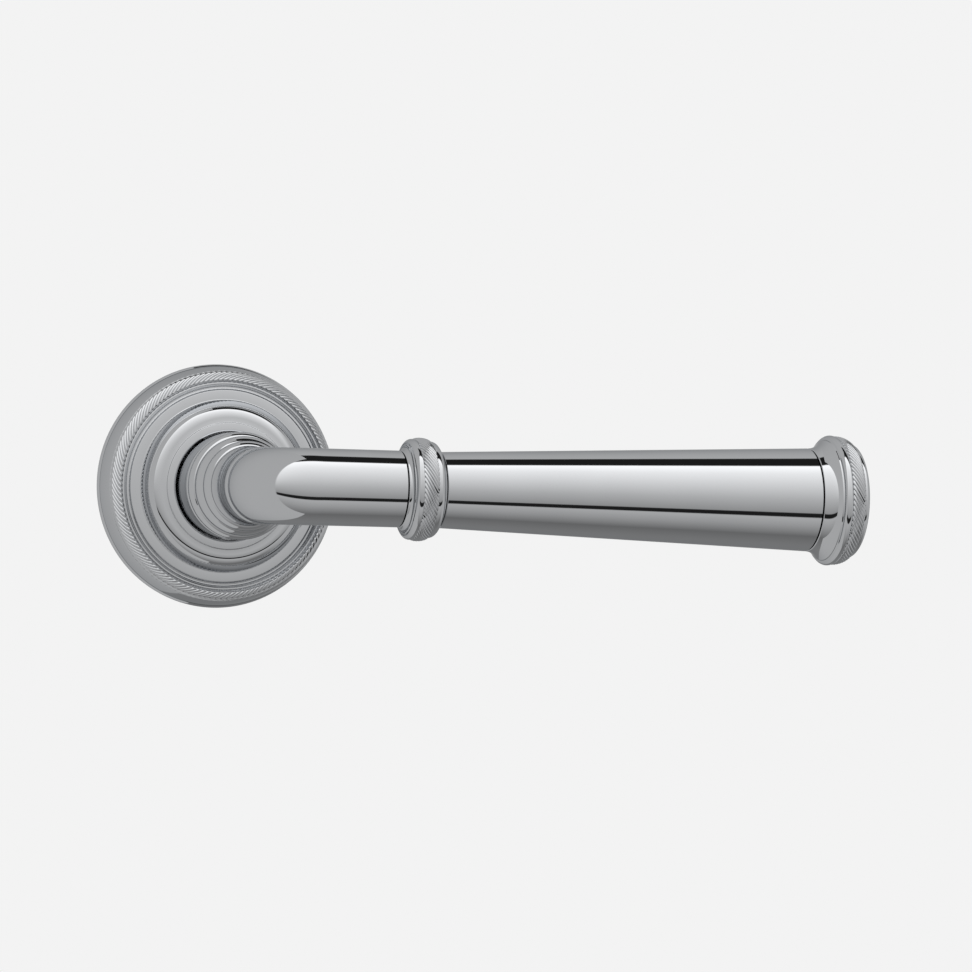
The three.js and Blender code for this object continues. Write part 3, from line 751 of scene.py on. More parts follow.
class DOORLEVER_OT_finishes(bpy.types.Operator):
    """Make the finishes that the pieces share"""

    bl_idname = "door_lever.finishes"
    bl_label = "Finishes"

    def execute(self, context):
        colours = context.scene.door_lever_finishes
        polish = polish_group()
        grain = grain_group()
        chrome = {"Colour": colours.chrome, "Gloss roughness": 0.028, "Smear": 0.03, "Hairline height": 0.02}
        zinc = {"Colour": colours.zinc, "Gloss roughness": 0.27, "Smear": 0.14, "Hairline height": 0.5}
        zinc["Tarnish"] = 0.3
        spring = {"Colour": colours.spring, "Gloss roughness": 0.24, "Smear": 0.12, "Hairline height": 0.6}
        spring["Tarnish"] = 0.35
        black = {"Colour": colours.black, "Gloss roughness": 0.35, "Smear": 0.15, "Hairline height": 0.5}
        cast = {"Colour": colours.die_cast, "Base roughness": 0.42, "Grain height": 0.35, "Dust": 0.25}
        nylon = {"Colour": colours.nylon, "Base roughness": 0.4, "Grain height": 0.12, "Dust": 0.2}
        rubber = {"Colour": colours.rubber, "Base roughness": 0.7, "Grain height": 0.3, "Dust": 0.15}
        material("polished_chrome", polish, chrome, 1.0, edge_tint=(0.62, 0.63, 0.64))
        material("zinc_plate", polish, zinc, 1.0)
        material("oiled_spring_steel", polish, spring, 1.0)
        material("blackened_steel", polish, black, 1.0)
        material("bare_die_casting", grain, cast, 1.0)
        material("natural_nylon", grain, nylon, 0.0)
        material("soft_rubber", grain, rubber, 0.0)
        rope_band_tree()
        thread_tree()
        return {"FINISHED"}


class DOORLEVER_OT_rose_cover(bpy.types.Operator):
    """Build the turned rose cover and its rope band"""

    bl_idname = "door_lever.rose_cover"
    bl_label = "Rose cover"

    def execute(self, context):
        sizes = context.scene.door_lever_sizes
        mouth = MOUTH_R
        rim = ROSE_R
        outer = [
            (rim - RIM_ROLL, GAP),
            *bowed((rim - 0.08 * MM, RIM_OUT - 0.5 * MM), (rim - 0.3 * MM, RIM_OUT + 0.3 * MM), 0.1 * MM, 4),
            *bowed((rim - 0.5 * MM, RIM_OUT + 0.5 * MM), (BAND_FOOT[0] + 0.12 * MM, BAND_FOOT[1]), 0.1 * MM),
            (BAND_FOOT[0] - 0.45 * MM, BAND_FOOT[1] + 0.1 * MM),
            (BAND_CREST[0] + 0.3 * MM, BAND_CREST[1] - 0.6 * MM),
            (BAND_CREST[0] - 0.05 * MM, BAND_CREST[1] - 0.75 * MM),
            *bowed(
                (BAND_CREST[0] - 0.2 * MM, BEAD_OUT),
                (FLAT_OUTER_R + 0.95 * MM, BEAD_OUT - 0.05 * MM),
                0.2 * MM,
                8,
            ),
            *bowed((FLAT_OUTER_R + 0.85 * MM, BEAD_OUT - 0.4 * MM), (FLAT_OUTER_R, FLAT_OUT), -0.2 * MM, 8),
            *bowed(
                (FLAT_OUTER_R - 0.1 * MM, FLAT_OUT + 0.03 * MM),
                (FLAT_INNER_R + 0.15 * MM, FLAT_OUT + 0.18 * MM),
                0.02 * MM,
            ),
            *bowed((FLAT_INNER_R, FLAT_OUT + 0.3 * MM), (DOME_R + 0.1 * MM, DOME_OUT), -0.12 * MM, 10),
            *bowed((DOME_R, DOME_OUT + 0.05 * MM), (TOP_R, TOP_OUT), 0.42 * MM, 28),
            (TOP_R - 0.95 * MM, TOP_OUT + 0.08 * MM),
            (TOP_R - 1.08 * MM, TOP_OUT + 0.32 * MM),
            (mouth + 0.25 * MM, MOUTH_OUT - 0.02 * MM),
            (mouth, MOUTH_OUT - 0.2 * MM),
        ]
        inner = [
            (mouth, MOUTH_OUT - 1.6 * MM),
            (TOP_R - 0.6 * MM, TOP_OUT - 1.1 * MM),
            (DOME_R - 0.9 * MM, DOME_OUT - 0.6 * MM),
            (FLAT_INNER_R - 0.5 * MM, FLAT_OUT - 1.1 * MM),
            (BAND_CREST[0] - 0.2 * MM, FLAT_OUT - 2 * MM),
            (BAND_FOOT[0] - 1.4 * MM, BAND_FOOT[1] - 0.6 * MM),
            (ROSE_R - 1.9 * MM, RIM_OUT + 0.5 * MM),
            (ROSE_R - 1.9 * MM, GAP),
        ]
        outline = softened(outer, sizes.corner) + softened(inner, sizes.corner)
        shell = turned("rose_cover_shell", outline, on_spindle, sizes.segments)
        installed(shell, "cover", "chrome", "polished_chrome", "rose_cover")
        band = rope_band(
            "rose_cover_rope_band",
            sizes.cover_strands,
            BAND_FOOT,
            BAND_CREST,
            0.62 * MM,
            -0.09,
            SPINDLE_PLACE,
            sizes.cut_depth,
        )
        installed(band, "cover", "chrome", "polished_chrome", "rose_cover")
        return {"FINISHED"}


def stem_outline():
    """The stem from the shoulder to the elbow: a plain length, three beads, a hollow and a last bead."""
    bead = STEM_BEAD
    last_bead = NECK_START - 3.7 * MM
    cove = (NECK_R - 0.25 * MM, last_bead - 0.3 * MM)
    return [
        (STEM_R, STEM_SHOULDER + 0.1 * MM),
        (STEM_R, bead - 0.9 * MM),
        (STEM_R - 0.25 * MM, bead - 0.55 * MM),
        (STEM_R - 0.25 * MM, bead - 0.25 * MM),
        *bowed((STEM_R - 0.1 * MM, bead), (STEM_R - 1.05 * MM, bead + 2.3 * MM), 0.45 * MM),
        (STEM_R - 1.15 * MM, bead + 2.6 * MM),
        *bowed((STEM_R - 1.0 * MM, bead + 2.8 * MM), (STEM_R - 2.1 * MM, bead + 5.6 * MM), 0.45 * MM),
        (STEM_R - 2.2 * MM, bead + 5.9 * MM),
        *bowed((STEM_R - 2.05 * MM, bead + 6.1 * MM), (STEM_R - 3.1 * MM, bead + 8.5 * MM), 0.42 * MM),
        (STEM_R - 3.2 * MM, bead + 8.8 * MM),
        *bowed((STEM_R - 3.2 * MM, bead + 9.4 * MM), cove, -0.5 * MM, 20),
        *bowed((NECK_R - 0.1 * MM, last_bead), (NECK_R - 0.1 * MM, last_bead + 2.8 * MM), 0.32 * MM),
        (NECK_R - 0.35 * MM, NECK_START - 0.6 * MM),
        (NECK_R - 0.35 * MM, NECK_START - 0.3 * MM),
        (NECK_R, NECK_START),
    ]


def elbow_rings(segments, bend_steps=44, arm_steps=10):
    """Round rings from the end of the stem, through the elbow, to the arm's end."""
    base = circle(segments, NECK_R)
    rings = []
    for i in range(1, bend_steps + 1):
        angle = math.pi / 2 * i / bend_steps
        centre = np.array([BEND_R * (1 - math.cos(angle)), -(NECK_START + BEND_R * math.sin(angle)), 0])
        across = np.array([math.cos(angle), math.sin(angle), 0])
        rings.append(centre + base[:, :1] * across + base[:, 1:] * np.array([0, 0, 1]))
    for i in range(1, arm_steps + 1):
        along = BEND_R + (ARM_END - BEND_R) * i / arm_steps
        centre = np.array([along, -ARM_OUT, 0])
        rings.append(centre + base[:, :1] * np.array([0, 1, 0]) + base[:, 1:] * np.array([0, 0, 1]))
    return rings


class DOORLEVER_OT_neck(bpy.types.Operator):
    """Build the lever's stem, elbow and arm, with its spindle hole and grub screw hole"""

    bl_idname = "door_lever.neck"
    bl_label = "Neck"

    def execute(self, context):
        sizes = context.scene.door_lever_sizes
        count = sizes.segments
        hole = rounded_square(count, SPINDLE_HALF + GAP, 0.4 * MM)
        groove = JOURNAL_R - CLIP_GROOVE_D
        journal = [
            (JOURNAL_R - 0.15 * MM, JOURNAL_FROM),
            (JOURNAL_R, JOURNAL_FROM + 0.15 * MM),
            (JOURNAL_R, CLIP_IN - GAP / 2),
            (groove, CLIP_IN - GAP / 2),
            (groove, CLIP_OUT + GAP / 2),
            (JOURNAL_R, CLIP_OUT + GAP / 2),
            (JOURNAL_R, STEM_SHOULDER),
            (STEM_R - 0.2 * MM, STEM_SHOULDER),
        ]
        rings = [on_spindle(hole, SPINDLE_IN + GAP), on_spindle(hole, JOURNAL_FROM)]
        outline = softened(journal + stem_outline(), sizes.corner)
        rings += [on_spindle(circle(count, r), out) for r, out in outline]
        rings += elbow_rings(count)
        chamfer = [(NECK_R - 0.12 * MM, ARM_END), (NECK_R - 0.4 * MM, ARM_END), (SPIGOT_R, ARM_END)]
        spigot_end = ARM_END + SPIGOT_LENGTH
        spigot = [(SPIGOT_R, spigot_end - 0.2 * MM), (SPIGOT_R - 0.3 * MM, spigot_end)]
        # the arm's rings run from the back round to the front, as the elbow leaves them
        rings += [on_arm(circle(count, r), along) for r, along in chamfer + spigot]
        neck = skin("lever_neck_forging", rings)
        foot = -(STEM_R + 1 * MM)
        drill_rings = []
        for z in (foot, -(SPINDLE_HALF + 0.1 * MM)):
            ring_points = circle(40, GRUB_R + GAP / 2)
            drill_rings.append(below_stem(ring_points, z))
        bored(neck, skin("grub_drill", drill_rings))
        installed(neck, "lever", "chrome", "polished_chrome", "lever_neck")
        return {"FINISHED"}


class DOORLEVER_OT_collar(bpy.types.Operator):
    """Build the collar between the arm and the grip, with its rope band"""

    bl_idname = "door_lever.collar"
    bl_label = "Collar"

    def execute(self, context):
        sizes = context.scene.door_lever_sizes
        a = COLLAR_FROM
        band = (a + 2.55 * MM, a + 6.05 * MM)
        crest = COLLAR_R - 0.25 * MM
        outline = [
            (SPIGOT_R + GAP, a),
            (NECK_R - 0.1 * MM, a),
            *bowed((NECK_R + 0.05 * MM, a + 0.1 * MM), (NECK_R + 1.25 * MM, a + 1.0 * MM), -0.3 * MM),
            (NECK_R + 1.35 * MM, a + 1.2 * MM),
            *bowed((NECK_R + 1.75 * MM, a + 1.25 * MM), (crest - 0.2 * MM, band[0] + 0.1 * MM), 0.32 * MM),
            (crest - 0.55 * MM, band[0] + 0.3 * MM),
            (crest - 0.55 * MM, band[1] - 0.3 * MM),
            *bowed(
                (crest - 0.6 * MM, band[1] + 0.05 * MM), (crest - 1.55 * MM, COLLAR_TO - 0.5 * MM), 0.3 * MM
            ),
            (GRIP_START_R + 0.35 * MM, COLLAR_TO - 0.3 * MM),
            (GRIP_START_R + 0.2 * MM, COLLAR_TO),
            (SPIGOT_R + GAP, COLLAR_TO),
        ]
        ring_piece = turned("collar_ring_body", softened(outline, sizes.corner), on_arm, sizes.segments)
        installed(ring_piece, "lever", "chrome", "polished_chrome", "collar_ring")
        rope = rope_band(
            "collar_rope_band",
            sizes.collar_strands,
            (crest - 0.4 * MM, band[0]),
            (crest - 0.6 * MM, band[1]),
            0.62 * MM,
            -0.25,
            ARM_PLACE,
            sizes.cut_depth,
        )
        installed(rope, "lever", "chrome", "polished_chrome", "collar_ring")
        return {"FINISHED"}


class DOORLEVER_OT_grip(bpy.types.Operator):
    """Build the tapered grip, the roped end ring and the end plug"""

    bl_idname = "door_lever.grip"
    bl_label = "Grip and end"

    def execute(self, context):
        sizes = context.scene.door_lever_sizes
        bore = GRIP_BORE_R
        taper = [
            (GRIP_START_R + (GRIP_END_R - GRIP_START_R) * i / 12, GRIP_FROM + (GRIP_TO - GRIP_FROM) * i / 12)
            for i in range(1, 12)
        ]
        outline = [
            (bore, GRIP_FROM),
            (GRIP_START_R - 0.12 * MM, GRIP_FROM),
            (GRIP_START_R, GRIP_FROM + 0.12 * MM),
            *taper,
            (GRIP_END_R, GRIP_TO - 0.1 * MM),
            (GRIP_END_R - 0.1 * MM, GRIP_TO),
            (bore, GRIP_TO),
        ]
        sleeve = turned("grip_sleeve_turned", outline, on_arm, sizes.segments)
        installed(sleeve, "lever", "chrome", "polished_chrome", "grip_sleeve")
        band = (END_FACE - 4.6 * MM, END_FACE - 1.3 * MM)
        bore = END_BORE_R
        seat = PLUG_FROM - GAP
        outline = [
            (bore, END_FROM),
            (GRIP_END_R - 0.1 * MM, END_FROM),
            *bowed(
                (GRIP_END_R + 0.02 * MM, END_FROM + 0.15 * MM),
                (END_R - 1.25 * MM, band[0] - 2 * MM),
                -0.42 * MM,
            ),
            (END_R - 1.2 * MM, band[0] - 1.7 * MM),
            *bowed((END_R - 0.7 * MM, band[0] - 1.6 * MM), (END_R - 0.3 * MM, band[0] - 0.1 * MM), 0.32 * MM),
            (END_R - 0.75 * MM, band[0] + 0.2 * MM),
            (END_R - 2.1 * MM, band[1] - 0.2 * MM),
            *bowed((END_R - 1.8 * MM, band[1] + 0.1 * MM), (END_R - 2.4 * MM, END_FACE - 0.1 * MM), 0.2 * MM),
            (END_R - 2.7 * MM, END_FACE),
            (PLUG_R + GAP, END_FACE),
            (PLUG_R + GAP, seat),
            (bore, seat),
        ]
        end = turned("end_ring_body", softened(outline, sizes.corner), on_arm, sizes.segments)
        installed(end, "lever", "chrome", "polished_chrome", "end_ring")
        rope = rope_band(
            "end_rope_band",
            sizes.end_strands,
            (END_R - 0.55 * MM, band[0]),
            (END_R - 1.6 * MM, band[1]),
            0.6 * MM,
            -0.17,
            ARM_PLACE,
            sizes.cut_depth,
        )
        installed(rope, "lever", "chrome", "polished_chrome", "end_ring")
        outline = [
            (PLUG_R - 0.1 * MM, PLUG_FROM),
            (PLUG_R, PLUG_FROM + 0.1 * MM),
            (PLUG_R, END_FACE - 0.05 * MM),
            *bowed((PLUG_R - 0.15 * MM, END_FACE + 0.1 * MM), (0.05 * MM, PLUG_TO), 0.25 * MM, 24),
        ]
        plug = turned("end_plug_turned", outline, on_arm, sizes.segments, closed=False)
        installed(plug, "lever", "chrome", "polished_chrome", "end_plug")
        return {"FINISHED"}


def at_fixing(x, z, out_low):
    """Places a piece that stands on the Z axis, tip up, so that it points into the door at (x, z)."""
    return Matrix(((1, 0, 0, x), (0, 0, 1, -out_low), (0, -1, 0, z), (0, 0, 0, 1)))


class DOORLEVER_OT_plate(bpy.types.Operator):
    """Build the mounting plate, the bush, the rubber ring and the pins"""

    bl_idname = "door_lever.plate"
    bl_label = "Mounting plate"

    def execute(self, context):
        sizes = context.scene.door_lever_sizes
        bore = JOURNAL_R + RUNNING + BUSH_WALL + GAP
        groove = PLATE_R - RING_GROOVE_D
        half = RING_CORD_R + 0.1 * MM
        wall = CUP_WALL / 2
        outline = [
            (bore, RECESS_D),
            (RECESS_R, RECESS_D),
            (RECESS_R, 0.2 * MM),
            (RECESS_R + 0.2 * MM, 0),
            (PLATE_R - 0.2 * MM, 0),
            (PLATE_R, 0.2 * MM),
            (PLATE_R, RING_MID - half),
            (groove, RING_MID - half),
            (groove, RING_MID + half),
            (PLATE_R, RING_MID + half),
            (PLATE_R, PLATE_T),
            (CUP_R + wall, PLATE_T),
            (CUP_R + wall, CUP_OUT),
            (CUP_R - wall, CUP_OUT),
            (CUP_R - wall, PLATE_T),
            (BOSS_R, PLATE_T),
            (BOSS_R, BOSS_OUT),
            (bore, BOSS_OUT),
        ]
        plate = turned("mounting_plate_casting", softened(outline, 0.15 * MM, 3), on_spindle, 144)
        for angle, head, shank in ((0, 4.2, 2.3), (180, 4.2, 2.3), (90, 4.0, 2.2), (270, 4.0, 2.2)):
            hole = [(head, 5), (head, 3.4), (shank, 1.75), (shank, -1)]
            centre = np.array([FIX_R * math.cos(math.radians(angle)), FIX_R * math.sin(math.radians(angle))])
            rings = [on_spindle(circle(48, r * MM) + centre, out * MM) for r, out in hole]
            bored(plate, skin("fixing_drill", rings))
        installed(plate, "rose", "die_cast", "bare_die_casting", "mounting_plate")
        inner = JOURNAL_R + RUNNING
        outer = inner + BUSH_WALL
        flange = BOSS_OUT + GAP
        outline = [
            (inner, BUSH_IN),
            (outer, BUSH_IN),
            (outer, flange),
            (BOSS_R, flange),
            (BOSS_R, BUSH_OUT),
            (inner, BUSH_OUT),
        ]
        bush = turned("bearing_bush_moulding", softened(outline, 0.15 * MM, 3), on_spindle, 128)
        installed(bush, "rose", "nylon", "natural_nylon", "bearing_bush")
        section = circle(16, RING_CORD_R)
        outline = [(RING_R + x, RING_MID + y) for x, y in section]
        cord_ring = turned("cover_ring_rubber", outline, on_spindle, 160)
        installed(cord_ring, "rose", "rubber", "soft_rubber", "cover_ring")
        for node in ("rest_stop_pin", "end_stop_pin", "spring_anchor_pin"):
            low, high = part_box(node)
            centre = np.array([(low.x + high.x) / 2, (low.z + high.z) / 2])
            outline = [
                (PIN_R - 0.2 * MM, PIN_IN),
                (PIN_R, PIN_IN + 0.2 * MM),
                (PIN_R, PIN_OUT - 0.3 * MM),
                (PIN_R - 0.12 * MM, PIN_OUT - 0.1 * MM),
                (PIN_R - 0.35 * MM, PIN_OUT),
            ]
            rings = [on_spindle(circle(40, r) + centre, out) for r, out in outline]
            installed(skin(node + "_turned", rings), "rose", "zinc_steel", "zinc_plate", node)
        return {"FINISHED"}


class DOORLEVER_OT_fixings(bpy.types.Operator):
    """Build the through bolts and wood screws, with their threads and cross recesses"""

    bl_idname = "door_lever.fixings"
    bl_label = "Fixings"

    def execute(self, context):
        sizes = context.scene.door_lever_sizes
        bolt = {"pitch": sizes.bolt_pitch, "depth": 0.38 * MM, "tip": 1.2 * MM, "share": 0.45}
        screw = {"pitch": sizes.screw_pitch, "depth": 0.75 * MM, "tip": 6 * MM, "share": 0.95}
        for name, kind, plain in (
            ("through_bolt_1", bolt, 1 * MM),
            ("through_bolt_2", bolt, 1 * MM),
            ("wood_screw_1", screw, 3 * MM),
            ("wood_screw_2", screw, 3 * MM),
        ):
            self.fixing(name, kind, plain)
        return {"FINISHED"}

    def fixing(self, node, kind, plain):
        low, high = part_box(node)
        centre = np.array([(low.x + high.x) / 2, (low.z + high.z) / 2])
        head_r = (high.x - low.x) / 2
        top = -low.y
        neck_r = (2.0 if node.startswith("through") else 1.9) * MM
        shank_end = top - HEAD_DEPTH - plain
        recess = cross_outline(64, head_r * 0.56, 0.5 * MM)
        outline = [
            (neck_r, shank_end),
            (neck_r, top - HEAD_DEPTH),
            (head_r, top - 0.4 * MM),
            (head_r, top - 0.15 * MM),
            (head_r - 0.2 * MM, top - 0.02 * MM),
            (head_r * 0.7, top),
        ]
        rings = [on_spindle(circle(64, r) + centre, out) for r, out in outline]
        rings += [
            on_spindle(recess + centre, top),
            on_spindle(recess * 0.9 + centre, top - 0.9 * MM),
            on_spindle(recess * 0.35 + centre, top - 1.5 * MM),
        ]
        installed(skin(node + "_head", rings), "rose", "zinc_steel", "zinc_plate", node)
        length = high.y + shank_end + 0.5 * MM
        values = {
            "Rows": min(600, int(length / kind["pitch"] * 8)),
            "Radius": neck_r,
            "Length": length,
            "Pitch": kind["pitch"],
            "Thread depth": kind["depth"],
            "Tip length": kind["tip"],
            "Tip share": kind["share"],
        }
        place = at_fixing(centre[0], centre[1], shank_end + 0.5 * MM)
        thread = grown(node + "_thread", bpy.data.node_groups["screw_thread"], values, place)
        installed(thread, "rose", "zinc_steel", "zinc_plate", node)


class DOORLEVER_OT_spring_drive(bpy.types.Operator):
    """Build the return spring, the drive cam, the wave washer and the circlip"""

    bl_idname = "door_lever.spring_drive"
    bl_label = "Spring drive"

    def execute(self, context):
        self.spring()
        self.cam()
        self.washers()
        return {"FINISHED"}

    def spring(self):
        half_lug = math.degrees(math.atan(LUG_WIDTH / 2 / PIN_ORBIT))
        end = LUG_ANGLE - half_lug - LEG_LEAD
        start = end + 720 - COIL_SWEEP
        sweep = math.radians(COIL_SWEEP)
        low = PLATE_T + GAP + WIRE_R
        high = PIN_OUT - WIRE_R - GAP
        leg = LUG_R - 0.4 * MM
        path = []
        for i in range(9):
            path.append((leg + (COIL_R + WIRE_R - leg) * i / 8, 0.0))
        steps = 150
        path += [(COIL_R, i / steps) for i in range(1, steps)]
        for i in range(9):
            path.append((COIL_R + WIRE_R + (leg - COIL_R - WIRE_R) * i / 8, 1.0))
        points = []
        for radius, share in path:
            angle = math.radians(start) + sweep * share
            points.append((radius * math.cos(angle), -(low + (high - low) * share), radius * math.sin(angle)))
        points = np.array(points)
        tangents = np.gradient(points, axis=0)
        tangents /= np.linalg.norm(tangents, axis=1)[:, None]
        up = np.array([0, 1, 0])
        section = circle(14, WIRE_R)
        rings = []
        for point, tangent in zip(points, tangents):
            side = np.cross(up, tangent)
            side /= np.linalg.norm(side)
            lift = np.cross(tangent, side)
            rings.append(point + section[:, :1] * side + section[:, 1:] * lift)
        coil = skin("return_spring_coil", rings)
        installed(coil, "rose", "spring_steel", "oiled_spring_steel", "return_spring")

    def cam(self):
        count = 192
        angles = np.arange(count) * TAU / count
        lug = math.radians(LUG_ANGLE)
        outer = []
        for angle in angles:
            turn = (angle - lug + math.pi) % TAU - math.pi
            reach = CAM_R
            if abs(turn) < math.pi / 4 and abs(math.sin(turn)) * LUG_R < LUG_WIDTH / 2:
                reach = max(CAM_R, LUG_R / math.cos(turn))
            outer.append((math.cos(angle) * reach, math.sin(angle) * reach))
        outer = np.array(outer)
        flat = JOURNAL_R - KEY_D + GAP
        inner = circle(count, JOURNAL_R + GAP)
        inner[:, 0] = np.clip(inner[:, 0], -flat, flat)
        bottom = CAM_OUT - CAM_T
        rings = [
            on_spindle(inner, bottom),
            on_spindle(outer * 0.985, bottom),
            on_spindle(outer, bottom + 0.15 * MM),
            on_spindle(outer, CAM_OUT - 0.15 * MM),
            on_spindle(outer * 0.985, CAM_OUT),
            on_spindle(inner, CAM_OUT),
        ]
        disc = skin("drive_cam_disc", rings, closed=True)
        installed(disc, "lever", "zinc_steel", "zinc_plate", "drive_cam")
        near = COIL_R + WIRE_R + 2 * GAP
        half = LUG_WIDTH / 2
        middle = (near + LUG_R) / 2
        tab = rounded_square(48, 1, 0.3) * np.array([(LUG_R - near) / 2, half])
        turn = np.array([[math.cos(lug), math.sin(lug)], [-math.sin(lug), math.cos(lug)]])
        tab = (tab + np.array([middle, 0])) @ turn
        centre = np.array([middle, 0]) @ turn
        rings = [
            on_spindle((tab - centre) * 0.9 + centre, LUG_LOW),
            on_spindle(tab, LUG_LOW + 0.15 * MM),
            on_spindle(tab, bottom + 0.4 * MM),
        ]
        tab_piece = skin("drive_cam_lug", rings)
        installed(tab_piece, "lever", "zinc_steel", "zinc_plate", "drive_cam")

    def washers(self):
        count = 144
        angles = np.arange(count) * TAU / count
        wave = np.cos(angles * 3) * 0.12 * MM
        thick = 0.12 * MM
        middle = (WAVE_IN + WAVE_OUT) / 2
        inner = circle(count, JOURNAL_R + 0.4 * MM)
        outer = circle(count, RECESS_R - 1 * MM)
        rings = []
        for points, side in ((inner, -1), (outer, -1), (outer, 1), (inner, 1)):
            ring_points = on_spindle(points, middle + side * thick / 2)
            ring_points[:, 1] -= wave
            rings.append(ring_points)
        washer = skin("wave_washer_pressed", rings, closed=True)
        installed(washer, "lever", "spring_steel", "oiled_spring_steel", "wave_washer")
        inner_r = JOURNAL_R - 0.5 * MM
        outer_r = JOURNAL_R + CLIP_WIDTH
        start = -math.pi / 2 + CLIP_HALF_MOUTH
        rings = []
        for i in range(97):
            angle = start + (TAU - 2 * CLIP_HALF_MOUTH) * i / 96
            ear = max(0.0, 1 - min(i, 96 - i) / 5) * 0.5 * MM
            thin = 0.5 * MM * (1 - math.sin(math.pi * i / 96))
            edge = outer_r - thin + ear
            corners = [(inner_r, CLIP_IN), (edge, CLIP_IN), (edge, CLIP_OUT), (inner_r, CLIP_OUT)]
            rings.append(np.array([(r * math.cos(angle), -out, r * math.sin(angle)) for r, out in corners]))
        clip = skin("circlip_stamped", rings)
        installed(clip, "lever", "spring_steel", "oiled_spring_steel", "circlip")


class DOORLEVER_OT_spindle(bpy.types.Operator):
    """Build the square spindle and the grub screw, and finish the hidden tie rod"""

    bl_idname = "door_lever.spindle"
    bl_label = "Spindle"

    def execute(self, context):
        count = 96
        bar = rounded_square(count, SPINDLE_HALF, 0.35 * MM)
        tip = rounded_square(count, SPINDLE_HALF - 0.7 * MM, 0.9 * MM)
        rings = [
            on_spindle(tip * 0.97, -SPINDLE_BACK),
            on_spindle(tip, -SPINDLE_BACK + 0.1 * MM),
            on_spindle(bar, -SPINDLE_BACK + 1.1 * MM),
            on_spindle(bar, SPINDLE_IN - 1 * MM),
            on_spindle(tip, SPINDLE_IN),
        ]
        installed(skin("spindle_bar", rings), "lever", "zinc_steel", "zinc_plate", "spindle")
        low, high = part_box("grub_screw")
        socket = hexagon(60, 2.5 * MM)
        parts = [
            (circle(60, GRUB_R - 0.5 * MM), high.z),
            (circle(60, GRUB_R), high.z - 0.5 * MM),
            (circle(60, GRUB_R), low.z + 0.3 * MM),
            (circle(60, GRUB_R - 0.3 * MM), low.z),
            (socket, low.z),
            (socket, low.z + 2 * MM),
        ]
        rings = [below_stem(points, z) for points, z in parts]
        installed(skin("grub_screw_body", rings), "lever", "black_steel", "blackened_steel", "grub_screw")
        for node in ("grip_rod", "rod_nut", "rod_washer"):
            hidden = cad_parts[node]
            hidden.data.materials.clear()
            hidden.data.materials.append(finish_material("zinc_plate"))
        return {"FINISHED"}


# ---- the studio ----
# Light round the lever's axis: angle up from straight ahead in degrees, and grey level. Soft panels in
# front, graded to be brightest at the top, a thin gap between them, and a wider dark gap overhead.
PANEL_STOPS = (
    (-180, 0.25),
    (-90, 0.12),
    (-60, 0.28),
    (-41, 0.36),
    (-40, 0.01),
    (-31, 0.01),
    (-30, 0.24),
    (0, 0.38),
    (60, 0.75),
    (80, 0.95),
    (82, 0.01),
    (105, 0.01),
    (107, 0.36),
    (180, 0.33),
)
SIDE_GREY = 0.34
PANEL_LEFT = (-60, -57)  # bearing in degrees where the panels end at the left
PANEL_RIGHT = (0.6, 0.9)


def studio_world(settings):
    """A soft tent: graded front panels with dark gaps between them, and plain grey all round."""
    world = bpy.data.worlds.new("studio")
    bpy.context.scene.world = world
    world.use_nodes = True
    tree = world.node_tree
    tree.nodes.clear()
    way = add_node(tree, "ShaderNodeTexCoord").outputs["Generated"]
    x, y, z = add_node(tree, "ShaderNodeSeparateXYZ", {0: way}).outputs
    angle = maths(tree, "ARCTAN2", z, maths(tree, "MULTIPLY", y, -1.0))
    share = ranged(tree, angle, -math.pi, math.pi, kind="LINEAR")
    panel = add_node(tree, "ShaderNodeValToRGB", {"Fac": share})
    band = panel.color_ramp
    band.elements.remove(band.elements[-1])
    for i, (degrees, grey) in enumerate(PANEL_STOPS):
        place = (degrees + 180) / 360
        element = band.elements[0] if i == 0 else band.elements.new(place)
        element.position = place
        element.color = (grey, grey, grey, 1)

    def blend(factor, low, high):
        made = add_node(tree, "ShaderNodeMix", {"Factor": factor}, data_type="RGBA")
        for socket, value in ((made.inputs[6], low), (made.inputs[7], high)):
            if isinstance(value, bpy.types.NodeSocket):
                tree.links.new(value, socket)
            else:
                socket.default_value = (value, value, value, 1)
        return made.outputs[2]

    bearing = maths(tree, "ARCTAN2", x, maths(tree, "MULTIPLY", y, -1.0))
    edge = [math.radians(degrees) for degrees in PANEL_LEFT]
    left = blend(ranged(tree, bearing, *edge), SIDE_GREY, panel.outputs["Color"])
    whole = blend(ranged(tree, x, *PANEL_RIGHT), left, SIDE_GREY)
    around = add_node(tree, "ShaderNodeBackground", {"Color": whole, "Strength": settings.surround})
    paper = add_node(tree, "ShaderNodeBackground", {"Color": (*settings.paper, 1), "Strength": 1.0})
    seen = add_node(tree, "ShaderNodeLightPath").outputs["Is Camera Ray"]
    both = add_node(tree, "ShaderNodeMixShader", {0: seen, 1: around.outputs[0], 2: paper.outputs[0]})
    leave = tree.nodes.new("ShaderNodeOutputWorld")
    tree.links.new(both.outputs[0], leave.inputs["Surface"])


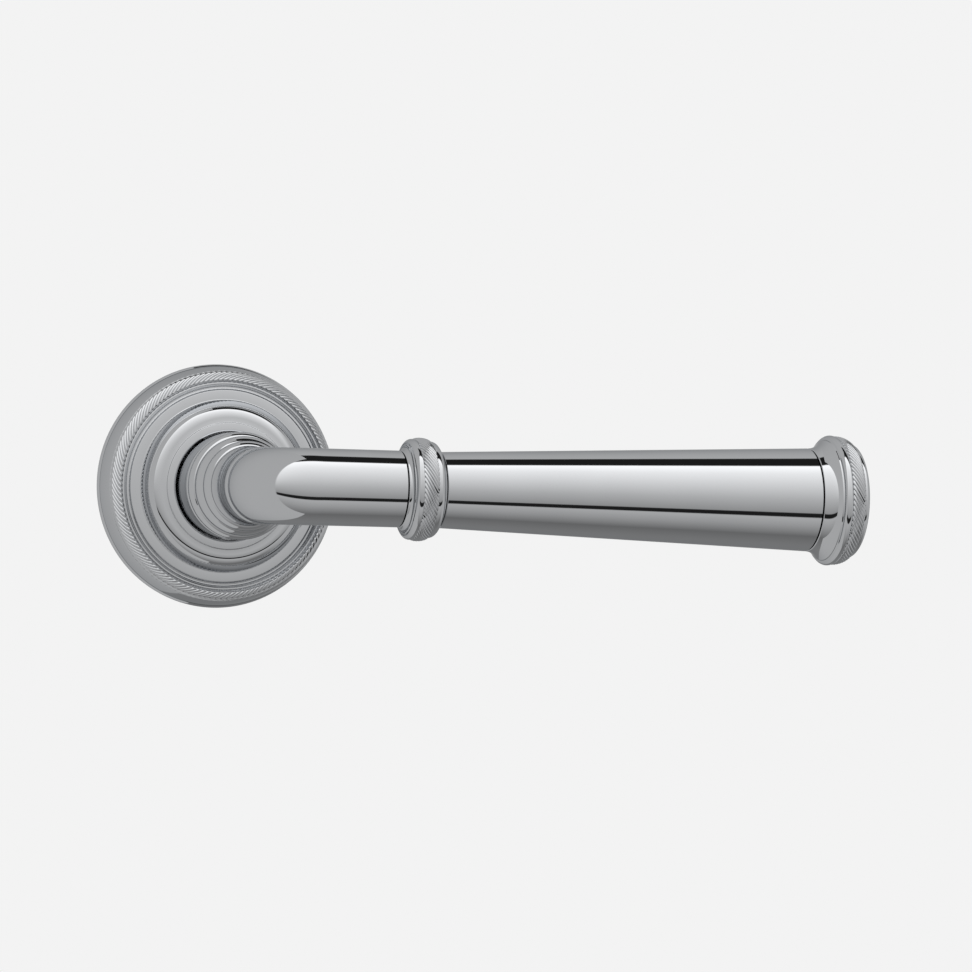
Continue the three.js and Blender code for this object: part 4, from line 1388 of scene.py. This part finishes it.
def paper_material(colour, size):
    """Matt pale paper that fades out at its edge."""
    made = bpy.data.materials.new("floor_paper")
    made.use_nodes = True
    tree = made.node_tree
    body = tree.nodes["Principled BSDF"]
    body.inputs["Base Color"].default_value = (*colour, 1)
    body.inputs["Roughness"].default_value = 0.95
    body.inputs["Specular IOR Level"].default_value = 0
    place = add_node(tree, "ShaderNodeTexCoord").outputs["Object"]
    flat = add_node(tree, "ShaderNodeVectorMath", {0: place, 1: (1, 1, 0)}, operation="MULTIPLY")
    length = add_node(tree, "ShaderNodeVectorMath", {0: flat.outputs[0]}, operation="LENGTH").outputs["Value"]
    fade = ranged(tree, length, size * 0.35, size * 0.95)
    clear = add_node(tree, "ShaderNodeBsdfTransparent")
    both = add_node(tree, "ShaderNodeMixShader", {0: fade, 1: body.outputs[0], 2: clear.outputs[0]})
    tree.links.new(both.outputs[0], tree.nodes["Material Output"].inputs["Surface"])
    return made


class DOORLEVER_OT_stage(bpy.types.Operator):
    """Build the floor, the light and the camera"""

    bl_idname = "door_lever.stage"
    bl_label = "Stage"

    def execute(self, context):
        settings = context.scene.door_lever_studio
        context.scene.view_settings.view_transform = "Standard"
        studio_world(settings)
        radius = settings.floor_size
        height = settings.floor_height
        points = [(0, 0, height)] + [(x, y, height) for x, y in circle(96, radius)]
        faces = [(0, i + 1, (i + 1) % 96 + 1) for i in range(96)]
        data = bpy.data.meshes.new("floor")
        data.from_pydata(points, [], faces)
        data.materials.append(paper_material(settings.paper, radius))
        floor = bpy.data.objects.new("floor", data)
        context.scene.collection.objects.link(floor)
        floor.visible_glossy = False
        lamp = bpy.data.lights.new("overhead", "AREA")
        lamp.shape = "DISK"
        lamp.size = 1.6
        lamp.energy = 16
        light = bpy.data.objects.new("overhead", lamp)
        light.location = (0.2, -0.5, 1.4)
        light.rotation_euler = (math.radians(-20), 0, 0)
        light.visible_glossy = False
        context.scene.collection.objects.link(light)
        self.camera(context, settings)
        return {"FINISHED"}

    def camera(self, context, settings):
        turn, rise = settings.azimuth, settings.elevation
        back = Vector((math.sin(turn) * math.cos(rise), -math.cos(turn) * math.cos(rise), math.sin(rise)))
        level = Vector((math.cos(turn), math.sin(turn), 0))
        upright = back.cross(level)
        right = level * math.cos(settings.roll) + upright * math.sin(settings.roll)
        top = upright * math.cos(settings.roll) - level * math.sin(settings.roll)
        data = bpy.data.cameras.new("camera")
        data.lens = settings.lens
        data.sensor_width = 36
        data.clip_start = 0.01
        data.clip_end = 50
        camera = bpy.data.objects.new("camera", data)
        frame_axes = Matrix((right, top, back)).transposed().to_4x4()
        frame_axes.translation = Vector(settings.aim) + back * settings.distance
        camera.matrix_world = frame_axes
        context.scene.collection.objects.link(camera)
        context.scene.camera = camera


class DOORLEVER_PT_panel(bpy.types.Panel):
    """The handle's settings and building steps"""

    bl_label = "Door lever handle"
    bl_idname = "DOORLEVER_PT_panel"
    bl_space_type = "VIEW_3D"
    bl_region_type = "UI"
    bl_category = "Door Lever"

    def draw(self, context):
        for group in ("door_lever_sizes", "door_lever_finishes", "door_lever_studio"):
            settings = getattr(context.scene, group)
            for name in settings.__annotations__:
                self.layout.prop(settings, name)
        for operator in OPERATORS:
            self.layout.operator(operator.bl_idname)


SETTINGS = {
    "door_lever_sizes": DoorLeverSizes,
    "door_lever_finishes": DoorLeverFinishes,
    "door_lever_studio": DoorLeverStudio,
}
OPERATORS = (
    DOORLEVER_OT_finishes,
    DOORLEVER_OT_rose_cover,
    DOORLEVER_OT_neck,
    DOORLEVER_OT_collar,
    DOORLEVER_OT_grip,
    DOORLEVER_OT_plate,
    DOORLEVER_OT_fixings,
    DOORLEVER_OT_spring_drive,
    DOORLEVER_OT_spindle,
    DOORLEVER_OT_stage,
)


def register():
    for group in SETTINGS.values():
        bpy.utils.register_class(group)
    for operator in OPERATORS:
        bpy.utils.register_class(operator)
    bpy.utils.register_class(DOORLEVER_PT_panel)
    for name, group in SETTINGS.items():
        setattr(bpy.types.Scene, name, PointerProperty(type=group))


def unregister():
    for name in SETTINGS:
        delattr(bpy.types.Scene, name)
    bpy.utils.unregister_class(DOORLEVER_PT_panel)
    for operator in reversed(OPERATORS):
        bpy.utils.unregister_class(operator)
    for group in reversed(SETTINGS.values()):
        bpy.utils.unregister_class(group)


def main():
    register()
    bpy.ops.door_lever.finishes()
    bpy.ops.door_lever.rose_cover()
    bpy.ops.door_lever.neck()
    bpy.ops.door_lever.collar()
    bpy.ops.door_lever.grip()
    bpy.ops.door_lever.plate()
    bpy.ops.door_lever.fixings()
    bpy.ops.door_lever.spring_drive()
    bpy.ops.door_lever.spindle()
    bpy.ops.door_lever.stage()


if __name__ == "__main__":
    main()
